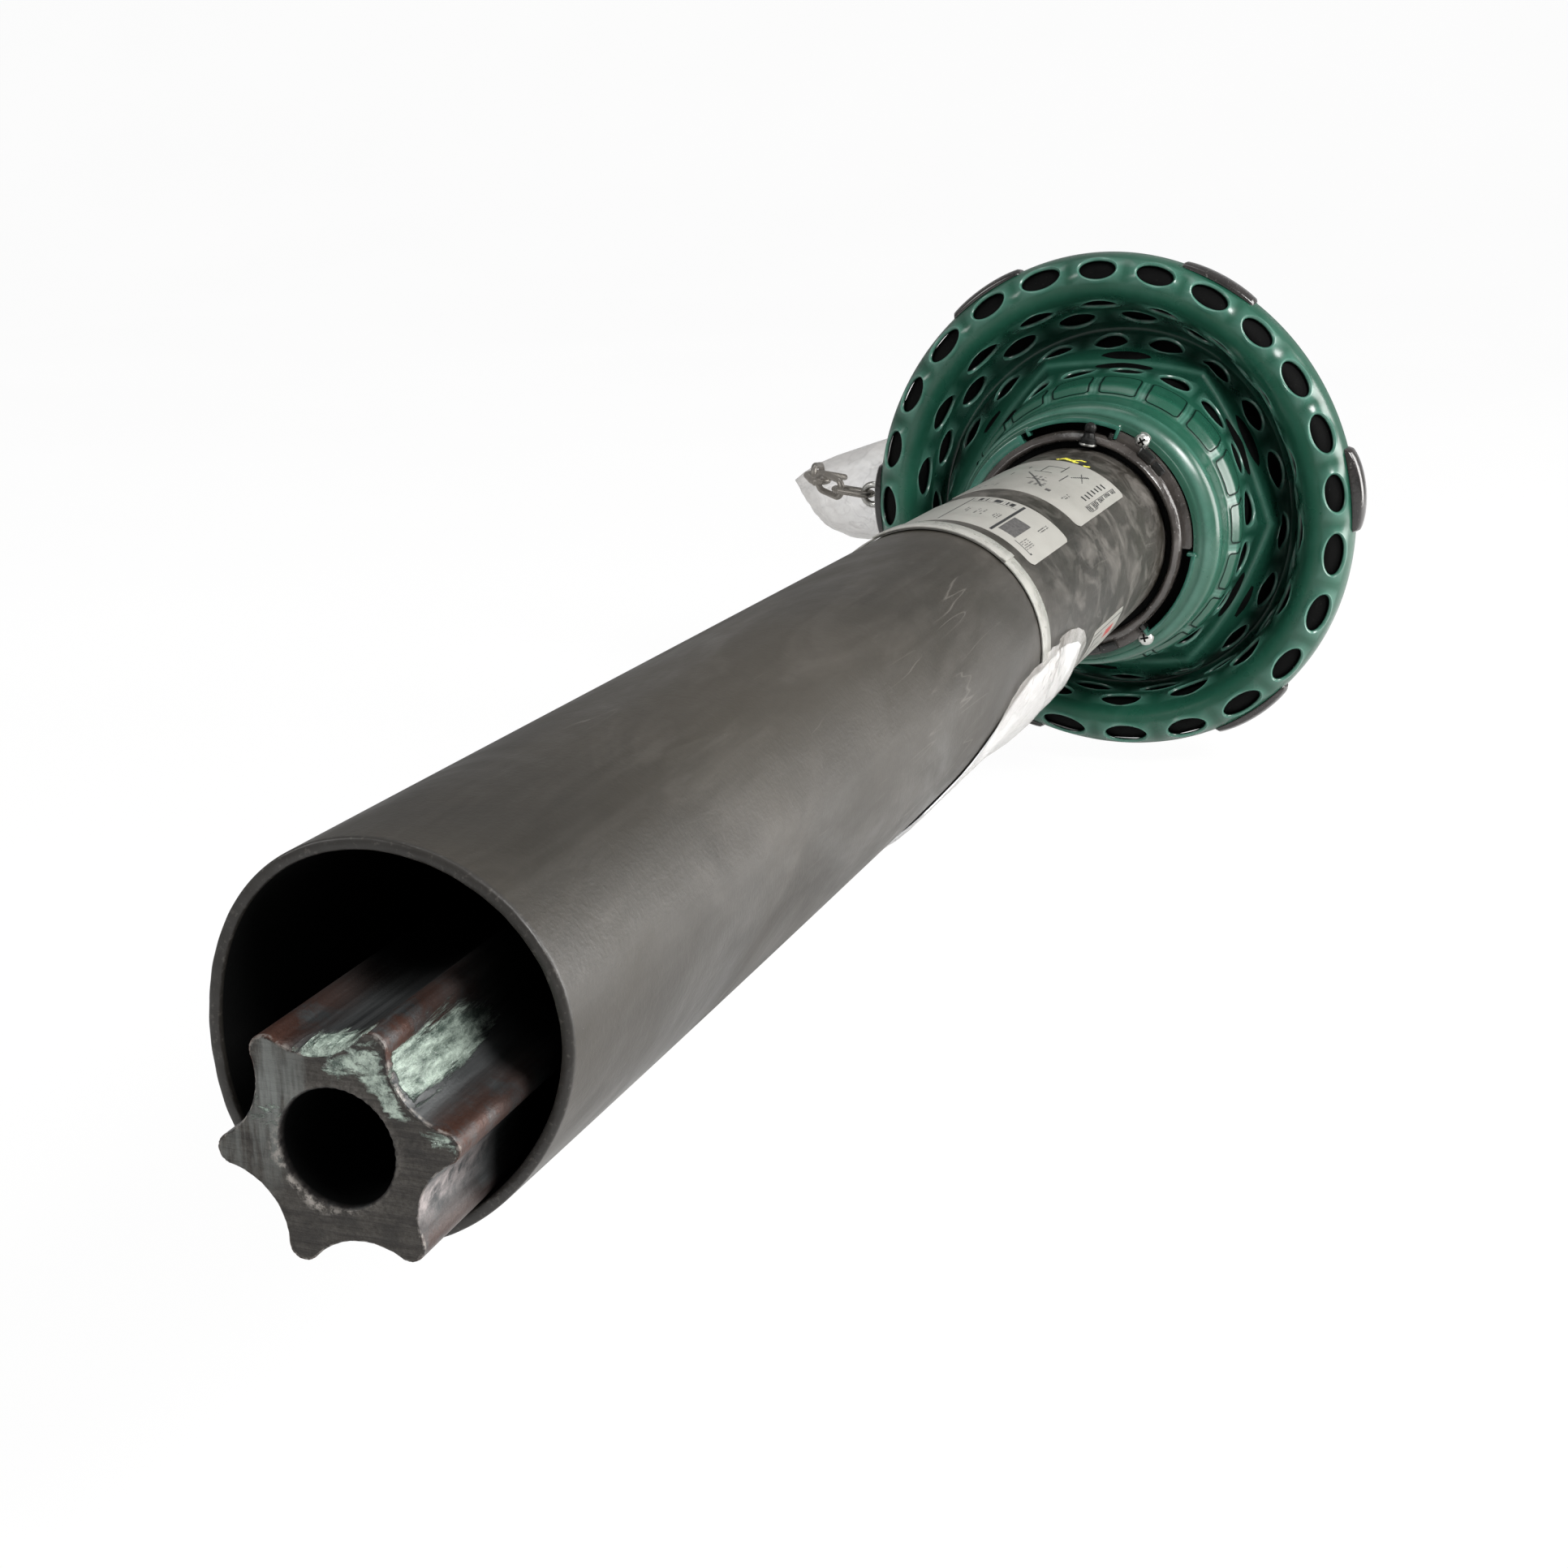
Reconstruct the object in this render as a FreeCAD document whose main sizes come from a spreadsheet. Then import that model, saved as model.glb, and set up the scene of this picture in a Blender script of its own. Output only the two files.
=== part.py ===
import FreeCAD, Part
import Sketcher
import math
import os

# One half of a guarded agricultural drive shaft: a six-lobe sliding profile, a
# universal joint with a 1 3/8 inch six-spline end, and a plastic guard with its
# ventilated cone.  Frame: origin at the mouth of the splined bore, +X out of the
# mouth, the shaft along -X, +Z up.  Millimetres and degrees.
#
# Stations run along +X from the far end of the guard tube.  Angles round the
# shaft start at +Y and grow toward +Z.

Vector = FreeCAD.Vector
Rotation = FreeCAD.Rotation
Placement = FreeCAD.Placement
XY, XZ, YZ = "XY_Plane", "XZ_Plane", "YZ_Plane"
AXIS_X = Vector(1, 0, 0)

doc = FreeCAD.newDocument("DriveShaftHalf")
sheet = doc.addObject("Spreadsheet::Sheet", "Sizes")
PIECES = []                                   # every finished object, in order

# ==== driving sizes ========================================================
SIZES = {
    # guard tube, joint centre and tilt of the guard
    "guard_od": 76.0, "guard_wall": 2.5, "guard_len": 590.0,
    "cross_at": 668.0, "mouth_reach": 92.0, "tilt_pivot": 600.0,
    "sag_side": 3.9, "sag_up": 10.3,
    # six-lobe profile
    "star_tip": 24.0, "star_valley": 17.4, "star_tip_round": 3.0,
    "star_valley_round": 13.46, "star_bore": 11.2, "star_turn": 51.6,
    "star_stick_out": 25.0, "star_end": 611.0, "star_gap": 0.1,
    # yokes, measured from the joint centre
    "hub_rad": 33.0, "hub_near": 50.0, "hub_far": 92.0,
    "groove_rad": 30.0, "groove_from": 64.0, "groove_to": 72.0,
    "ear_half": 50.0, "ear_inner": 27.5, "ear_boss": 22.0, "arm_half": 23.0,
    # bearing cups, circlips, cross, needles and seals
    "cup_rad": 15.1, "cup_out": 46.0, "cup_in": 28.3, "cup_floor": 3.0,
    "cup_bore": 12.45, "cup_gap": 0.01,
    "clip_rad": 16.1, "clip_thick": 1.45, "clip_inner": 12.8,
    "trunnion_rad": 9.98, "trunnion_end": 42.9, "needle_dia": 2.4,
    "needle_pitch": 11.22, "needle_from": 29.2, "needle_to": 42.7,
    "seal_in": 23.6, "seal_out": 28.1, "seal_rad": 14.4, "seal_bore": 10.0,
    # splined bore
    "spline_major": 17.5, "spline_minor": 14.95, "spline_width": 8.69,
    "pilot_rad": 17.6, "pilot_len": 12.0,
    # lock pin, its boss, spring and keeper
    "pin_rad": 5.5, "pin_x": 70.0, "pin_y": 20.2, "pin_neck": 2.55,
    "pin_bore_gap": 0.06, "pin_boss": 11.0, "boss_half": 30.0,
    "pocket_rad": 7.8, "pocket_floor": 22.0, "button_rad": 8.6,
    "button_at": 38.1, "button_high": 4.8, "pin_low": 35.0,
    "coil_rad": 6.65, "coil_wire": 1.3, "coil_turns": 4.0,
    "keeper_rad": 7.4, "keeper_thick": 1.6, "keeper_groove": 3.9,
    # roll pin
    "roll_rad": 5.0, "roll_bore": 3.3, "roll_half": 31.5, "roll_x": 84.0,
    # collar and bearing ring
    "collar_from": 574.0, "collar_lip": 42.6, "collar_seat": 38.1,
    "collar_flange": 51.3, "flange_from": 583.3, "flange_to": 592.0,
    "collar_to": 605.4, "ring_seat": 36.6, "ring_bore": 30.06, "ring_od": 36.0,
    "ring_from": 596.1, "ring_to": 603.9, "ring_flange": 41.0,
    "ring_flange_to": 608.4, "ring_flange_from": 606.3,
    # collar screws and windows
    "screw_circle": 47.2, "screw_head": 4.3, "screw_shank": 2.1,
    "screw_top": 577.3, "screw_tip": 591.0, "screw_turn": 116.0,
    "window_in": 43.0, "window_out": 48.3, "window_half": 21.0,
    # cone wall, lining, lugs, rim and tab
    "cone_wall": 2.6, "lug_in": 106.7, "lug_out": 109.4, "lug_from": 642.8,
    "lug_to": 656.5, "lug_half": 9.7, "lug_gap": 0.3, "lug_turn": 55.0,
    "rim_in": 100.5, "rim_out": 102.9, "rim_from": 647.5, "rim_to": 656.5,
    "tab_in": 106.2, "tab_out": 108.8, "tab_to": 684.0, "tab_half": 4.5,
    "chain_seat": 109.4, "liner_gap": 1.1, "liner_wall": 1.3,
    # labels, strap and document pouch
    "label_thick": 0.18, "data_from": 455.0, "data_to": 537.0,
    "data_turn": 60.0, "data_arc": 78.0,
    "code_from": 380.0, "code_to": 434.0, "code_turn": 62.0, "code_arc": 78.5,
    "sticker_from": 450.0, "sticker_to": 502.0, "sticker_turn": 196.0,
    "sticker_arc": 36.0,
    "strap_from": 358.0, "strap_to": 369.0, "strap_thick": 0.9, "strap_gap": 0.6,
    "film": 0.45, "pouch_from": 250.0, "pouch_to": 356.0, "tail_to": 428.0,
    "tail_arc": 34.0, "pouch_in": 38.03, "pouch_out": 42.3, "pouch_skin": 0.5,
    "pouch_turn": 176.0, "pouch_arc": 66.0, "sheet_gap": 0.45,
    # guard grease nipple, chain and bag
    "nipple_turn": 92.0, "nipple_circle": 45.5, "nipple_base": 2.6,
    "nipple_head": 2.0, "nipple_tip": 571.0,
    "chain_wire": 1.5, "chain_half": 4.1, "chain_pitch": 15.2, "link_half": 9.45,
    "eye_at": 676.0, "eye_rad": 4.6, "eye_wire": 1.5, "eye_shank": 1.9,
    "bag_long": 44.0, "bag_wide": 27.0, "bag_deep": 26.0, "bag_skin": 0.8,
}

# Outside surface of the cone, collar to mouth: radius, station.
CONE = [
    (43.4, 580.0), (49.4, 580.0), (52.4, 581.6), (54.2, 585.6), (54.6, 590.0),
    (54.6, 603.0), (56.0, 605.6), (58.9, 610.5), (60.0, 617.0), (62.8, 632.0),
    (65.4, 643.0), (67.4, 649.0), (70.8, 652.4), (73.4, 658.5), (75.8, 666.5),
    (78.4, 670.4), (80.8, 667.0), (83.2, 654.0), (85.4, 643.5), (89.5, 637.6),
    (96.5, 636.0), (101.4, 638.6), (104.6, 642.4), (106.0, 647.0), (106.4, 653.0),
]
NECK, SHOULDER, RIM = 6, 8, len(CONE) - 1     # cone points other shapes start from
LINED = range(9, 23)                          # cone points the lining follows

# Rows of oval vents: radius, station, lean from the axis, half length round the
# cone, half width, number in the row, angle of the first.
VENTS = [
    (100.2, 638.6, 40.0, 8.2, 5.2, 24, 55.0),
    (84.4, 647.5, -80.0, 7.8, 4.6, 18, 85.0),
    (82.0, 661.0, -80.0, 7.4, 4.4, 18, 75.0),
    (74.6, 662.5, 68.0, 7.0, 4.4, 18, 86.0),
    (63.9, 636.5, 76.0, 6.8, 5.0, 18, 76.0),
]

# Chain links: heading from +Y toward the mouth, lift toward +Z.
CHAIN_PATH = [(12.0, 4.0), (36.0, 8.0), (60.0, 4.0), (84.0, -6.0), (108.0, -12.0)]

NEEDLE_COUNT = 28
NEEDLE_START = 3.0                            # angle of the first needle
WINDOW_LAG = 29.0                             # angle of a window before its screw
FACE_START = 578.0                            # sketch station before the cone's face


class Size:
    """A number together with the sheet expression that gives it."""

    def __init__(self, value, text=None):
        self.value = float(value)
        self.text = text or "%.6f" % self.value

    def __add__(self, other):
        other = as_size(other)
        return Size(self.value + other.value, "(%s + %s)" % (self.text, other.text))

    def __sub__(self, other):
        other = as_size(other)
        return Size(self.value - other.value, "(%s - %s)" % (self.text, other.text))

    def __mul__(self, other):
        other = as_size(other)
        return Size(self.value * other.value, "(%s * %s)" % (self.text, other.text))

    def __truediv__(self, other):
        other = as_size(other)
        return Size(self.value / other.value, "(%s / %s)" % (self.text, other.text))

    def __neg__(self):
        return Size(-self.value, "(0 - %s)" % self.text)

    def __float__(self):
        return self.value

    def driven(self):
        return "Sizes" in self.text


def as_size(value):
    return value if isinstance(value, Size) else Size(value)


class SizeNames:
    """Every sheet size as an attribute named by its alias."""


def fill_sheet():
    values = dict(SIZES)
    for i, (radius, station) in enumerate(CONE):
        values["cone_rad_%d" % i] = radius
        values["cone_at_%d" % i] = station
    names = SizeNames()
    for row, (alias, value) in enumerate(values.items(), 1):
        sheet.set("A%d" % row, alias)
        sheet.set("B%d" % row, "%.4f" % value)
        sheet.setAlias("B%d" % row, alias)
        setattr(names, alias, Size(value, "Sizes." + alias))
    doc.recompute()
    return names


size = fill_sheet()
cone_outside = [(getattr(size, "cone_at_%d" % i), getattr(size, "cone_rad_%d" % i))
                for i in range(len(CONE))]
SCREW_TURNS = [size.screw_turn.value + 120.0 * k for k in range(3)]


# ==== points and placements ================================================
def point(x=0, y=0, z=0):
    return Vector(float(x), float(y), float(z))


def shift(x=0, y=0, z=0):
    return Placement(point(x, y, z), Rotation())


def turn_x(degrees):
    return Placement(Vector(), Rotation(AXIS_X, float(degrees)))


def start_at(degrees):
    """Offset of an XZ sketch that turns its upward axis to an angle round X."""
    return turn_x(float(degrees) - 90.0)


def polar_point(radius, degrees):
    angle = math.radians(degrees)
    return point(float(radius) * math.cos(angle), float(radius) * math.sin(angle))


def around_shaft(radius, degrees):
    """Vector square to X, at an angle from +Y toward +Z."""
    flat = polar_point(radius, degrees)
    return Vector(0, flat.x, flat.y)


def frame(x_axis, y_axis, z_axis, origin):
    return Placement(FreeCAD.Matrix(
        x_axis.x, y_axis.x, z_axis.x, origin.x,
        x_axis.y, y_axis.y, z_axis.y, origin.y,
        x_axis.z, y_axis.z, z_axis.z, origin.z,
        0, 0, 0, 1))


def box(x0, x1, y0, y1):
    """Rectangle corners, counter-clockwise."""
    return [(x0, y0), (x1, y0), (x1, y1), (x0, y1)]


def band(x0, x1, y0, y1):
    """Rectangle corners, clockwise."""
    return [(x0, y0), (x0, y1), (x1, y1), (x1, y0)]


mouth_station = size.cross_at + size.mouth_reach
SHAFT = shift(-mouth_station)
# The guard is tilted about one station: its far end moves sag_side toward +Y
# and sag_up toward +Z.
sag = math.hypot(size.sag_side.value, size.sag_up.value)
tilt = Rotation(point(0, size.sag_up, -size.sag_side),
                math.degrees(math.asin(sag / size.tilt_pivot.value)))
GUARD = Placement(point(size.tilt_pivot - mouth_station), tilt) * shift(-size.tilt_pivot)
CROSS = point(-size.mouth_reach)
CROSS_FRAME = Placement(CROSS, Rotation())
INNER = Placement(CROSS, Rotation(Vector(0, 0, 1), 180))   # hub back along the shaft
OUTER = Placement(CROSS, Rotation(AXIS_X, 90))             # hub toward the mouth
LOCK_PIN = shift(size.pin_x - size.mouth_reach, size.pin_y)

# Frames of the two bearings of each yoke, the bearing along +Z of its frame.
BOTH_ENDS = [Placement(), turn_x(180)]
INNER_BEARINGS = [CROSS_FRAME * end for end in BOTH_ENDS]
OUTER_BEARINGS = [CROSS_FRAME * turn_x(90) * end for end in BOTH_ENDS]


# ==== sketches =============================================================
def new_body(name):
    body = doc.addObject("PartDesign::Body", name)
    body.Label = name
    return body


def new_sketch(body, role, offset=None):
    plane = [o for o in body.Origin.OriginFeatures if o.Role == role][0]
    sketch = body.newObject("Sketcher::SketchObject", body.Name + "_sketch")
    sketch.AttachmentSupport = [(plane, "")]
    sketch.MapMode = "FlatFace"
    if offset is not None:
        sketch.AttachmentOffset = offset
    return sketch


def name_and_bind(sketch, index, tag, text):
    sketch.renameConstraint(index, tag)
    sketch.setExpression("Constraints." + tag, text)


def bind(sketch, tag, kind, geo, pos, distance):
    """Distance of a sketch point from the sketch origin, bound to the sheet."""
    distance = as_size(distance)
    if abs(distance.value) < 1e-9:
        axis = -2 if kind == "DistanceX" else -1
        sketch.addConstraint(Sketcher.Constraint("PointOnObject", geo, pos, axis))
        return
    if distance.value > 0:
        ends = (-1, 1, geo, pos, distance.value)
        text = distance.text
    else:
        ends = (geo, pos, -1, 1, -distance.value)
        text = "0 - %s" % distance.text
    index = sketch.addConstraint(Sketcher.Constraint(kind, *ends))
    if distance.driven():
        name_and_bind(sketch, index, tag, text)


def bind_point(sketch, tag, geo, pos, x, y):
    bind(sketch, "hx_%s" % tag, "DistanceX", geo, pos, x)
    bind(sketch, "vy_%s" % tag, "DistanceY", geo, pos, y)


def outline(body, role, corners, offset=None):
    """Sketch with a closed outline of straight edges through the corners."""
    sketch = new_sketch(body, role, offset)
    count = len(corners)
    for i in range(count):
        start, end = point(*corners[i]), point(*corners[(i + 1) % count])
        sketch.addGeometry(Part.LineSegment(start, end), False)
    for i in range(count):
        sketch.addConstraint(Sketcher.Constraint("Coincident", i, 2, (i + 1) % count, 1))
    for i, (x, y) in enumerate(corners):
        bind_point(sketch, i, i, 1, x, y)
    return sketch


def add_circle(sketch, x, y, radius):
    radius = as_size(radius)
    geo = sketch.addGeometry(Part.Circle(point(x, y), Vector(0, 0, 1), radius.value), False)
    index = sketch.addConstraint(Sketcher.Constraint("Radius", geo, radius.value))
    if radius.driven():
        name_and_bind(sketch, index, "radius_%d" % geo, radius.text)
    if abs(float(x)) < 1e-9 and abs(float(y)) < 1e-9:
        sketch.addConstraint(Sketcher.Constraint("Coincident", geo, 3, -1, 1))
    else:
        bind_point(sketch, geo, geo, 3, x, y)


def disc(body, role, x, y, radius, offset=None):
    """Sketch with one circle."""
    sketch = new_sketch(body, role, offset)
    add_circle(sketch, x, y, radius)
    return sketch


def disc_ring(body, station, pitch_radius, angles, radius):
    """YZ sketch with equal circles round the shaft axis."""
    sketch = new_sketch(body, YZ, shift(z=station))
    for degrees in angles:
        angle = math.radians(degrees)
        add_circle(sketch, pitch_radius * math.cos(angle), pitch_radius * math.sin(angle), radius)
    return sketch


def add_star(sketch, turn, grow):
    """Six-lobe outline: rounded tips joined by hollow valleys."""
    tip_round = size.star_tip_round.value + grow
    valley = size.star_valley.value + grow
    tip_centre = size.star_tip - size.star_tip_round
    valley_centre = size.star_valley + size.star_valley_round

    def toward(centre, aim):
        return centre + (aim - centre) * (tip_round / (aim - centre).Length)

    for k in range(6):
        at = turn + 60.0 * k
        tip = polar_point(tip_centre, at)
        next_tip = polar_point(tip_centre, at + 60)
        valley_before = polar_point(valley_centre, at - 30)
        valley_after = polar_point(valley_centre, at + 30)
        tip_end = toward(tip, valley_after)
        sketch.addGeometry(Part.Arc(toward(tip, valley_before),
                                    tip + polar_point(tip_round, at), tip_end), False)
        sketch.addGeometry(Part.Arc(tip_end, polar_point(valley, at + 30),
                                    toward(next_tip, valley_after)), False)


# ==== features =============================================================
SUFFIX = {"Pad": "_pad", "Pocket": "_pocket", "Revolution": "_rev", "Groove": "_groove"}


def set_size(target, prop, value):
    value = as_size(value)
    setattr(target, prop, value.value)
    if value.driven():
        target.setExpression(prop, value.text)


def settle(feature):
    doc.recompute()
    if "Invalid" in feature.State or feature.Shape.isNull():
        raise RuntimeError("%s did not build: %s" % (feature.Name, feature.State))
    return feature


def new_feature(body, sketch, kind):
    feature = body.newObject("PartDesign::" + kind, body.Name + SUFFIX[kind])
    feature.Profile = sketch
    sketch.Visibility = False
    return feature


def revolve(body, sketch, angle=360.0, axis="H_Axis", kind="Revolution"):
    feature = new_feature(body, sketch, kind)
    feature.ReferenceAxis = (sketch, [axis])
    set_size(feature, "Angle", angle)
    return settle(feature)


def groove(body, sketch, angle=360.0, axis="H_Axis"):
    return revolve(body, sketch, angle, axis, "Groove")


def pocket(body, sketch, length, middle=False, reverse=False, kind="Pocket"):
    feature = new_feature(body, sketch, kind)
    set_size(feature, "Length", length)
    if middle:
        feature.SideType = "Symmetric"
    if reverse:
        feature.Reversed = True
    return settle(feature)


def pad(body, sketch, length, middle=False):
    return pocket(body, sketch, length, middle, kind="Pad")


def repeat_round(body, feature, axis_sketch, count):
    """Polar pattern of a feature about the horizontal axis of a sketch."""
    doc.recompute()
    pattern = body.newObject("PartDesign::PolarPattern", body.Name + "_ring")
    pattern.Originals = [feature]
    pattern.Axis = (axis_sketch, ["H_Axis"])
    pattern.Angle = 360.0
    pattern.Occurrences = count
    body.Tip = pattern
    settle(pattern)


def turned(name, corners, axis="H_Axis", angle=360.0, role=XZ):
    body = new_body(name)
    revolve(body, outline(body, role, corners), angle, axis)
    return body


def finish(piece, place):
    piece.Placement = place
    PIECES.append(piece)


def add_shape(name, shape, place=Placement()):
    piece = doc.addObject("Part::Feature", name)
    piece.Label = name
    piece.Shape = shape
    finish(piece, place)


def copies(shape, places):
    """Compound of one shape set at each placement."""
    out = []
    for place in places:
        item = shape.copy()
        item.Placement = place
        out.append(item)
    return Part.makeCompound(out)


# ==== guard ================================================================
def guard_tube():
    """Thin round plastic sleeve, open at both ends."""
    radius = size.guard_od / 2
    finish(turned("guard_tube", band(0, size.guard_len, radius - size.guard_wall, radius)), GUARD)


def tube_collar():
    """Moulding on the tube end: a lip, a flange for the screws and a ring seat."""
    start = size.collar_from
    lip = size.collar_lip
    seat_end = size.guard_len + 1.0
    body = turned("tube_collar", [
        (start, size.collar_seat), (start, lip - 1.0), (start + 1.0, lip),
        (size.flange_from, lip), (size.flange_from, size.collar_flange - 3.0),
        (size.flange_from + 4.0, size.collar_flange), (size.flange_to, size.collar_flange),
        (size.flange_to, lip - 0.6), (size.collar_to, lip - 0.6),
        (size.collar_to, size.ring_seat), (seat_end, size.ring_seat),
        (seat_end, size.collar_seat)])
    hole_start = size.flange_from - 1.0
    screw_holes = disc_ring(body, hole_start, size.screw_circle, SCREW_TURNS,
                            size.screw_shank + 0.1)
    pocket(body, screw_holes, size.flange_to - size.flange_from + 2.0, reverse=True)
    nipple_hole = disc_ring(body, hole_start, size.nipple_circle, [size.nipple_turn],
                            size.nipple_base - 0.5)
    pocket(body, nipple_hole, 7.0, reverse=True)
    finish(body, GUARD)


def bearing_ring():
    """Nylon ring in the inner yoke's groove, split on one side to open over the hub."""
    clear_hub = size.hub_rad + 0.8
    body = turned("bearing_ring", [
        (size.ring_from, size.ring_bore), (size.ring_from, size.ring_od),
        (size.ring_flange_from, size.ring_od), (size.ring_flange_from, size.ring_flange),
        (size.ring_flange_to, size.ring_flange), (size.ring_flange_to, clear_hub),
        (size.ring_to, clear_hub), (size.ring_to, size.ring_bore)])
    split = outline(body, XZ, box(size.ring_from - 2, size.ring_flange_to + 2, -1.0, 1.0))
    pocket(body, split, 60.0)
    finish(body, SHAFT)


def inward_directions():
    """Direction into the cone at each outline point, stretched at the corners."""
    points = [(x.value, y.value) for x, y in cone_outside]
    directions = []
    for i in range(len(points) - 1):
        before, after = points[max(i - 1, 0)], points[i + 1]
        along_x, along_y = after[0] - before[0], after[1] - before[1]
        length = math.hypot(along_x, along_y)
        stretch = 1.0
        if i > 0:
            step_x, step_y = points[i][0] - before[0], points[i][1] - before[1]
            cosine = (step_x * along_x + step_y * along_y) / (math.hypot(step_x, step_y) * length)
            stretch = min(1.0 / max(cosine, 0.5), 1.25)
        directions.append((along_y / length * stretch, -along_x / length * stretch))
    directions.append((0.0, -1.0))            # the rim ends square to the axis
    return directions


CONE_INWARD = inward_directions()


def under_cone(depth, indices):
    """Cone outline points moved inward by a depth."""
    return [(cone_outside[i][0] + depth * CONE_INWARD[i][0],
             cone_outside[i][1] + depth * CONE_INWARD[i][1]) for i in indices]


def cut_windows(body):
    """Three arc-shaped windows in the cone's face, between the screws."""
    sketch = new_sketch(body, YZ, shift(z=FACE_START))
    inside, outside = size.window_in, size.window_out
    half = size.window_half.value
    for screw in SCREW_TURNS:
        middle = screw - WINDOW_LAG
        start, end = middle - half, middle + half
        sketch.addGeometry(Part.Arc(polar_point(outside, start), polar_point(outside, middle),
                                    polar_point(outside, end)), False)
        sketch.addGeometry(Part.LineSegment(polar_point(outside, end),
                                            polar_point(inside, end)), False)
        sketch.addGeometry(Part.Arc(polar_point(inside, end), polar_point(inside, middle),
                                    polar_point(inside, start)), False)
        sketch.addGeometry(Part.LineSegment(polar_point(inside, start),
                                            polar_point(outside, start)), False)
    pocket(body, sketch, 5.2, reverse=True)


def cut_vents(body):
    yz_plane = Placement(Vector(), Rotation(Vector(0, 1, 0), Vector(0, 0, 1), AXIS_X, "XYZ"))
    for radius, station, lean, half_long, half_wide, count, first in VENTS:
        # frame of a vent: x round the cone, z along the hole
        radial = around_shaft(1, first)
        tangent = around_shaft(1, first + 90)
        lean_angle = math.radians(lean)
        hole = Vector(-math.cos(lean_angle), 0, 0) + radial * math.sin(lean_angle)
        vent = frame(tangent, hole.cross(tangent), hole,
                     Vector(station, 0, 0) + radial * radius)
        sketch = new_sketch(body, YZ, yz_plane.inverse() * vent)
        sketch.addGeometry(Part.Ellipse(Vector(), half_long, half_wide), False)
        cut = pocket(body, sketch, 14.0, middle=True)
        repeat_round(body, cut, new_sketch(body, XZ), count)


def guard_cone():
    """One moulding from the screwed collar out over the joint."""
    inside = under_cone(size.cone_wall, range(len(CONE)))
    body = turned("guard_cone", cone_outside + inside[::-1])
    # raised pads round the neck
    neck_at, neck_rad = cone_outside[NECK]
    shoulder_at, shoulder_rad = cone_outside[SHOULDER]
    pad_sketch = outline(body, XZ, [
        (neck_at + 1.5, neck_rad + 0.2), (neck_at + 3.4, neck_rad + 3.2),
        (shoulder_at - 2.6, shoulder_rad + 0.7), (shoulder_at + 2.4, shoulder_rad + 1.6),
        (shoulder_at + 2.4, shoulder_rad - 0.6), (neck_at + 2.4, neck_rad - 0.4)],
        start_at(88.0))
    repeat_round(body, revolve(body, pad_sketch, 16.0), pad_sketch, 18)
    cut_windows(body)
    screw_holes = disc_ring(body, FACE_START, size.screw_circle, SCREW_TURNS,
                            size.screw_shank + 0.2)
    pocket(body, screw_holes, 6.0, reverse=True)
    cut_vents(body)
    finish(body, GUARD)


def cone_liner():
    """Boot inside the cone with six lugs round its rim and a tab for the chain eye."""
    depth = size.cone_wall + size.liner_gap
    hoop = [(size.rim_from, size.rim_out), (size.rim_to, size.rim_out),
            (size.rim_to, size.rim_in + 1.6), (size.rim_to - 3.5, size.rim_in),
            (size.rim_from + 1.0, size.rim_in)]
    body = turned("cone_liner", under_cone(depth, LINED) + hoop
                  + under_cone(depth + size.liner_wall, reversed(LINED)))
    # hooked lugs
    hook_at = cone_outside[RIM][0] + size.lug_gap
    lug_root = size.rim_out - 1.5
    lug_sketch = outline(body, XZ, [
        (hook_at, lug_root), (size.lug_to, lug_root),
        (size.lug_to, size.lug_out - 1.1), (size.lug_to - 1.1, size.lug_out - 0.2),
        (size.lug_from + 1.4, size.lug_out), (size.lug_from, size.lug_out - 1.1),
        (size.lug_from, size.lug_in), (hook_at, size.lug_in)],
        start_at(size.lug_turn - size.lug_half))
    repeat_round(body, revolve(body, lug_sketch, size.lug_half * 2), lug_sketch, 6)
    # tab on the +Y side and the hole for the eye's shank
    tab = box(size.lug_to - 1.6, size.tab_to, size.tab_in, size.tab_out)
    revolve(body, outline(body, XZ, tab, start_at(-size.tab_half)), size.tab_half * 2)
    pocket(body, disc(body, XZ, size.eye_at, 0, size.eye_shank + 0.15), 130.0)
    finish(body, GUARD)


def collar_screws():
    """Three pan-head cross-recess screws holding the cone to the collar."""
    top, head, shank = size.screw_top, size.screw_head, size.screw_shank
    under_head = cone_outside[0][0] - 0.05
    body = turned("screw_one", [
        (top, 0), (top, head - 1.4), (top + 0.9, head - 0.3), (top + 1.6, head),
        (under_head, head), (under_head, shank), (size.screw_tip - 1.2, shank),
        (size.screw_tip, 0)])
    for degrees in (0, 90):
        slot_offset = Placement(point(0, 0, top - 1.0), Rotation(Vector(0, 0, 1), degrees))
        pocket(body, outline(body, YZ, box(-2.2, 2.2, -0.5, 0.5), slot_offset),
               2.5, reverse=True)
    # each recess stands at its own angle
    places = [GUARD * Placement(around_shaft(size.screw_circle, degrees),
                                Rotation(AXIS_X, 20 + 35.0 * k))
              for k, degrees in enumerate(SCREW_TURNS)]
    add_shape("collar_screws", copies(body.Shape, places))


def ring_grease_nipple():
    """Grease nipple of the guard bearing, standing in the upper window."""
    tip, head, base = size.nipple_tip, size.nipple_head, size.nipple_base
    seat = size.flange_from - 0.02
    body = turned("ring_grease_nipple", [
        (tip, 0), (tip, 1.0), (tip + 1.0, head), (tip + 2.6, head), (tip + 3.8, 1.5),
        (tip + 6.0, 1.6), (tip + 8.2, base), (seat, base), (seat, base - 0.6),
        (size.flange_from + 5.0, base - 0.6), (size.flange_from + 5.6, 0)])
    place = Placement(around_shaft(size.nipple_circle, size.nipple_turn), Rotation())
    finish(body, GUARD * place)


def sector(name, corners, start, arc):
    """Curved piece round part of the guard tube."""
    finish(turned(name, corners, angle=arc), GUARD * start_at(start))


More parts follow.
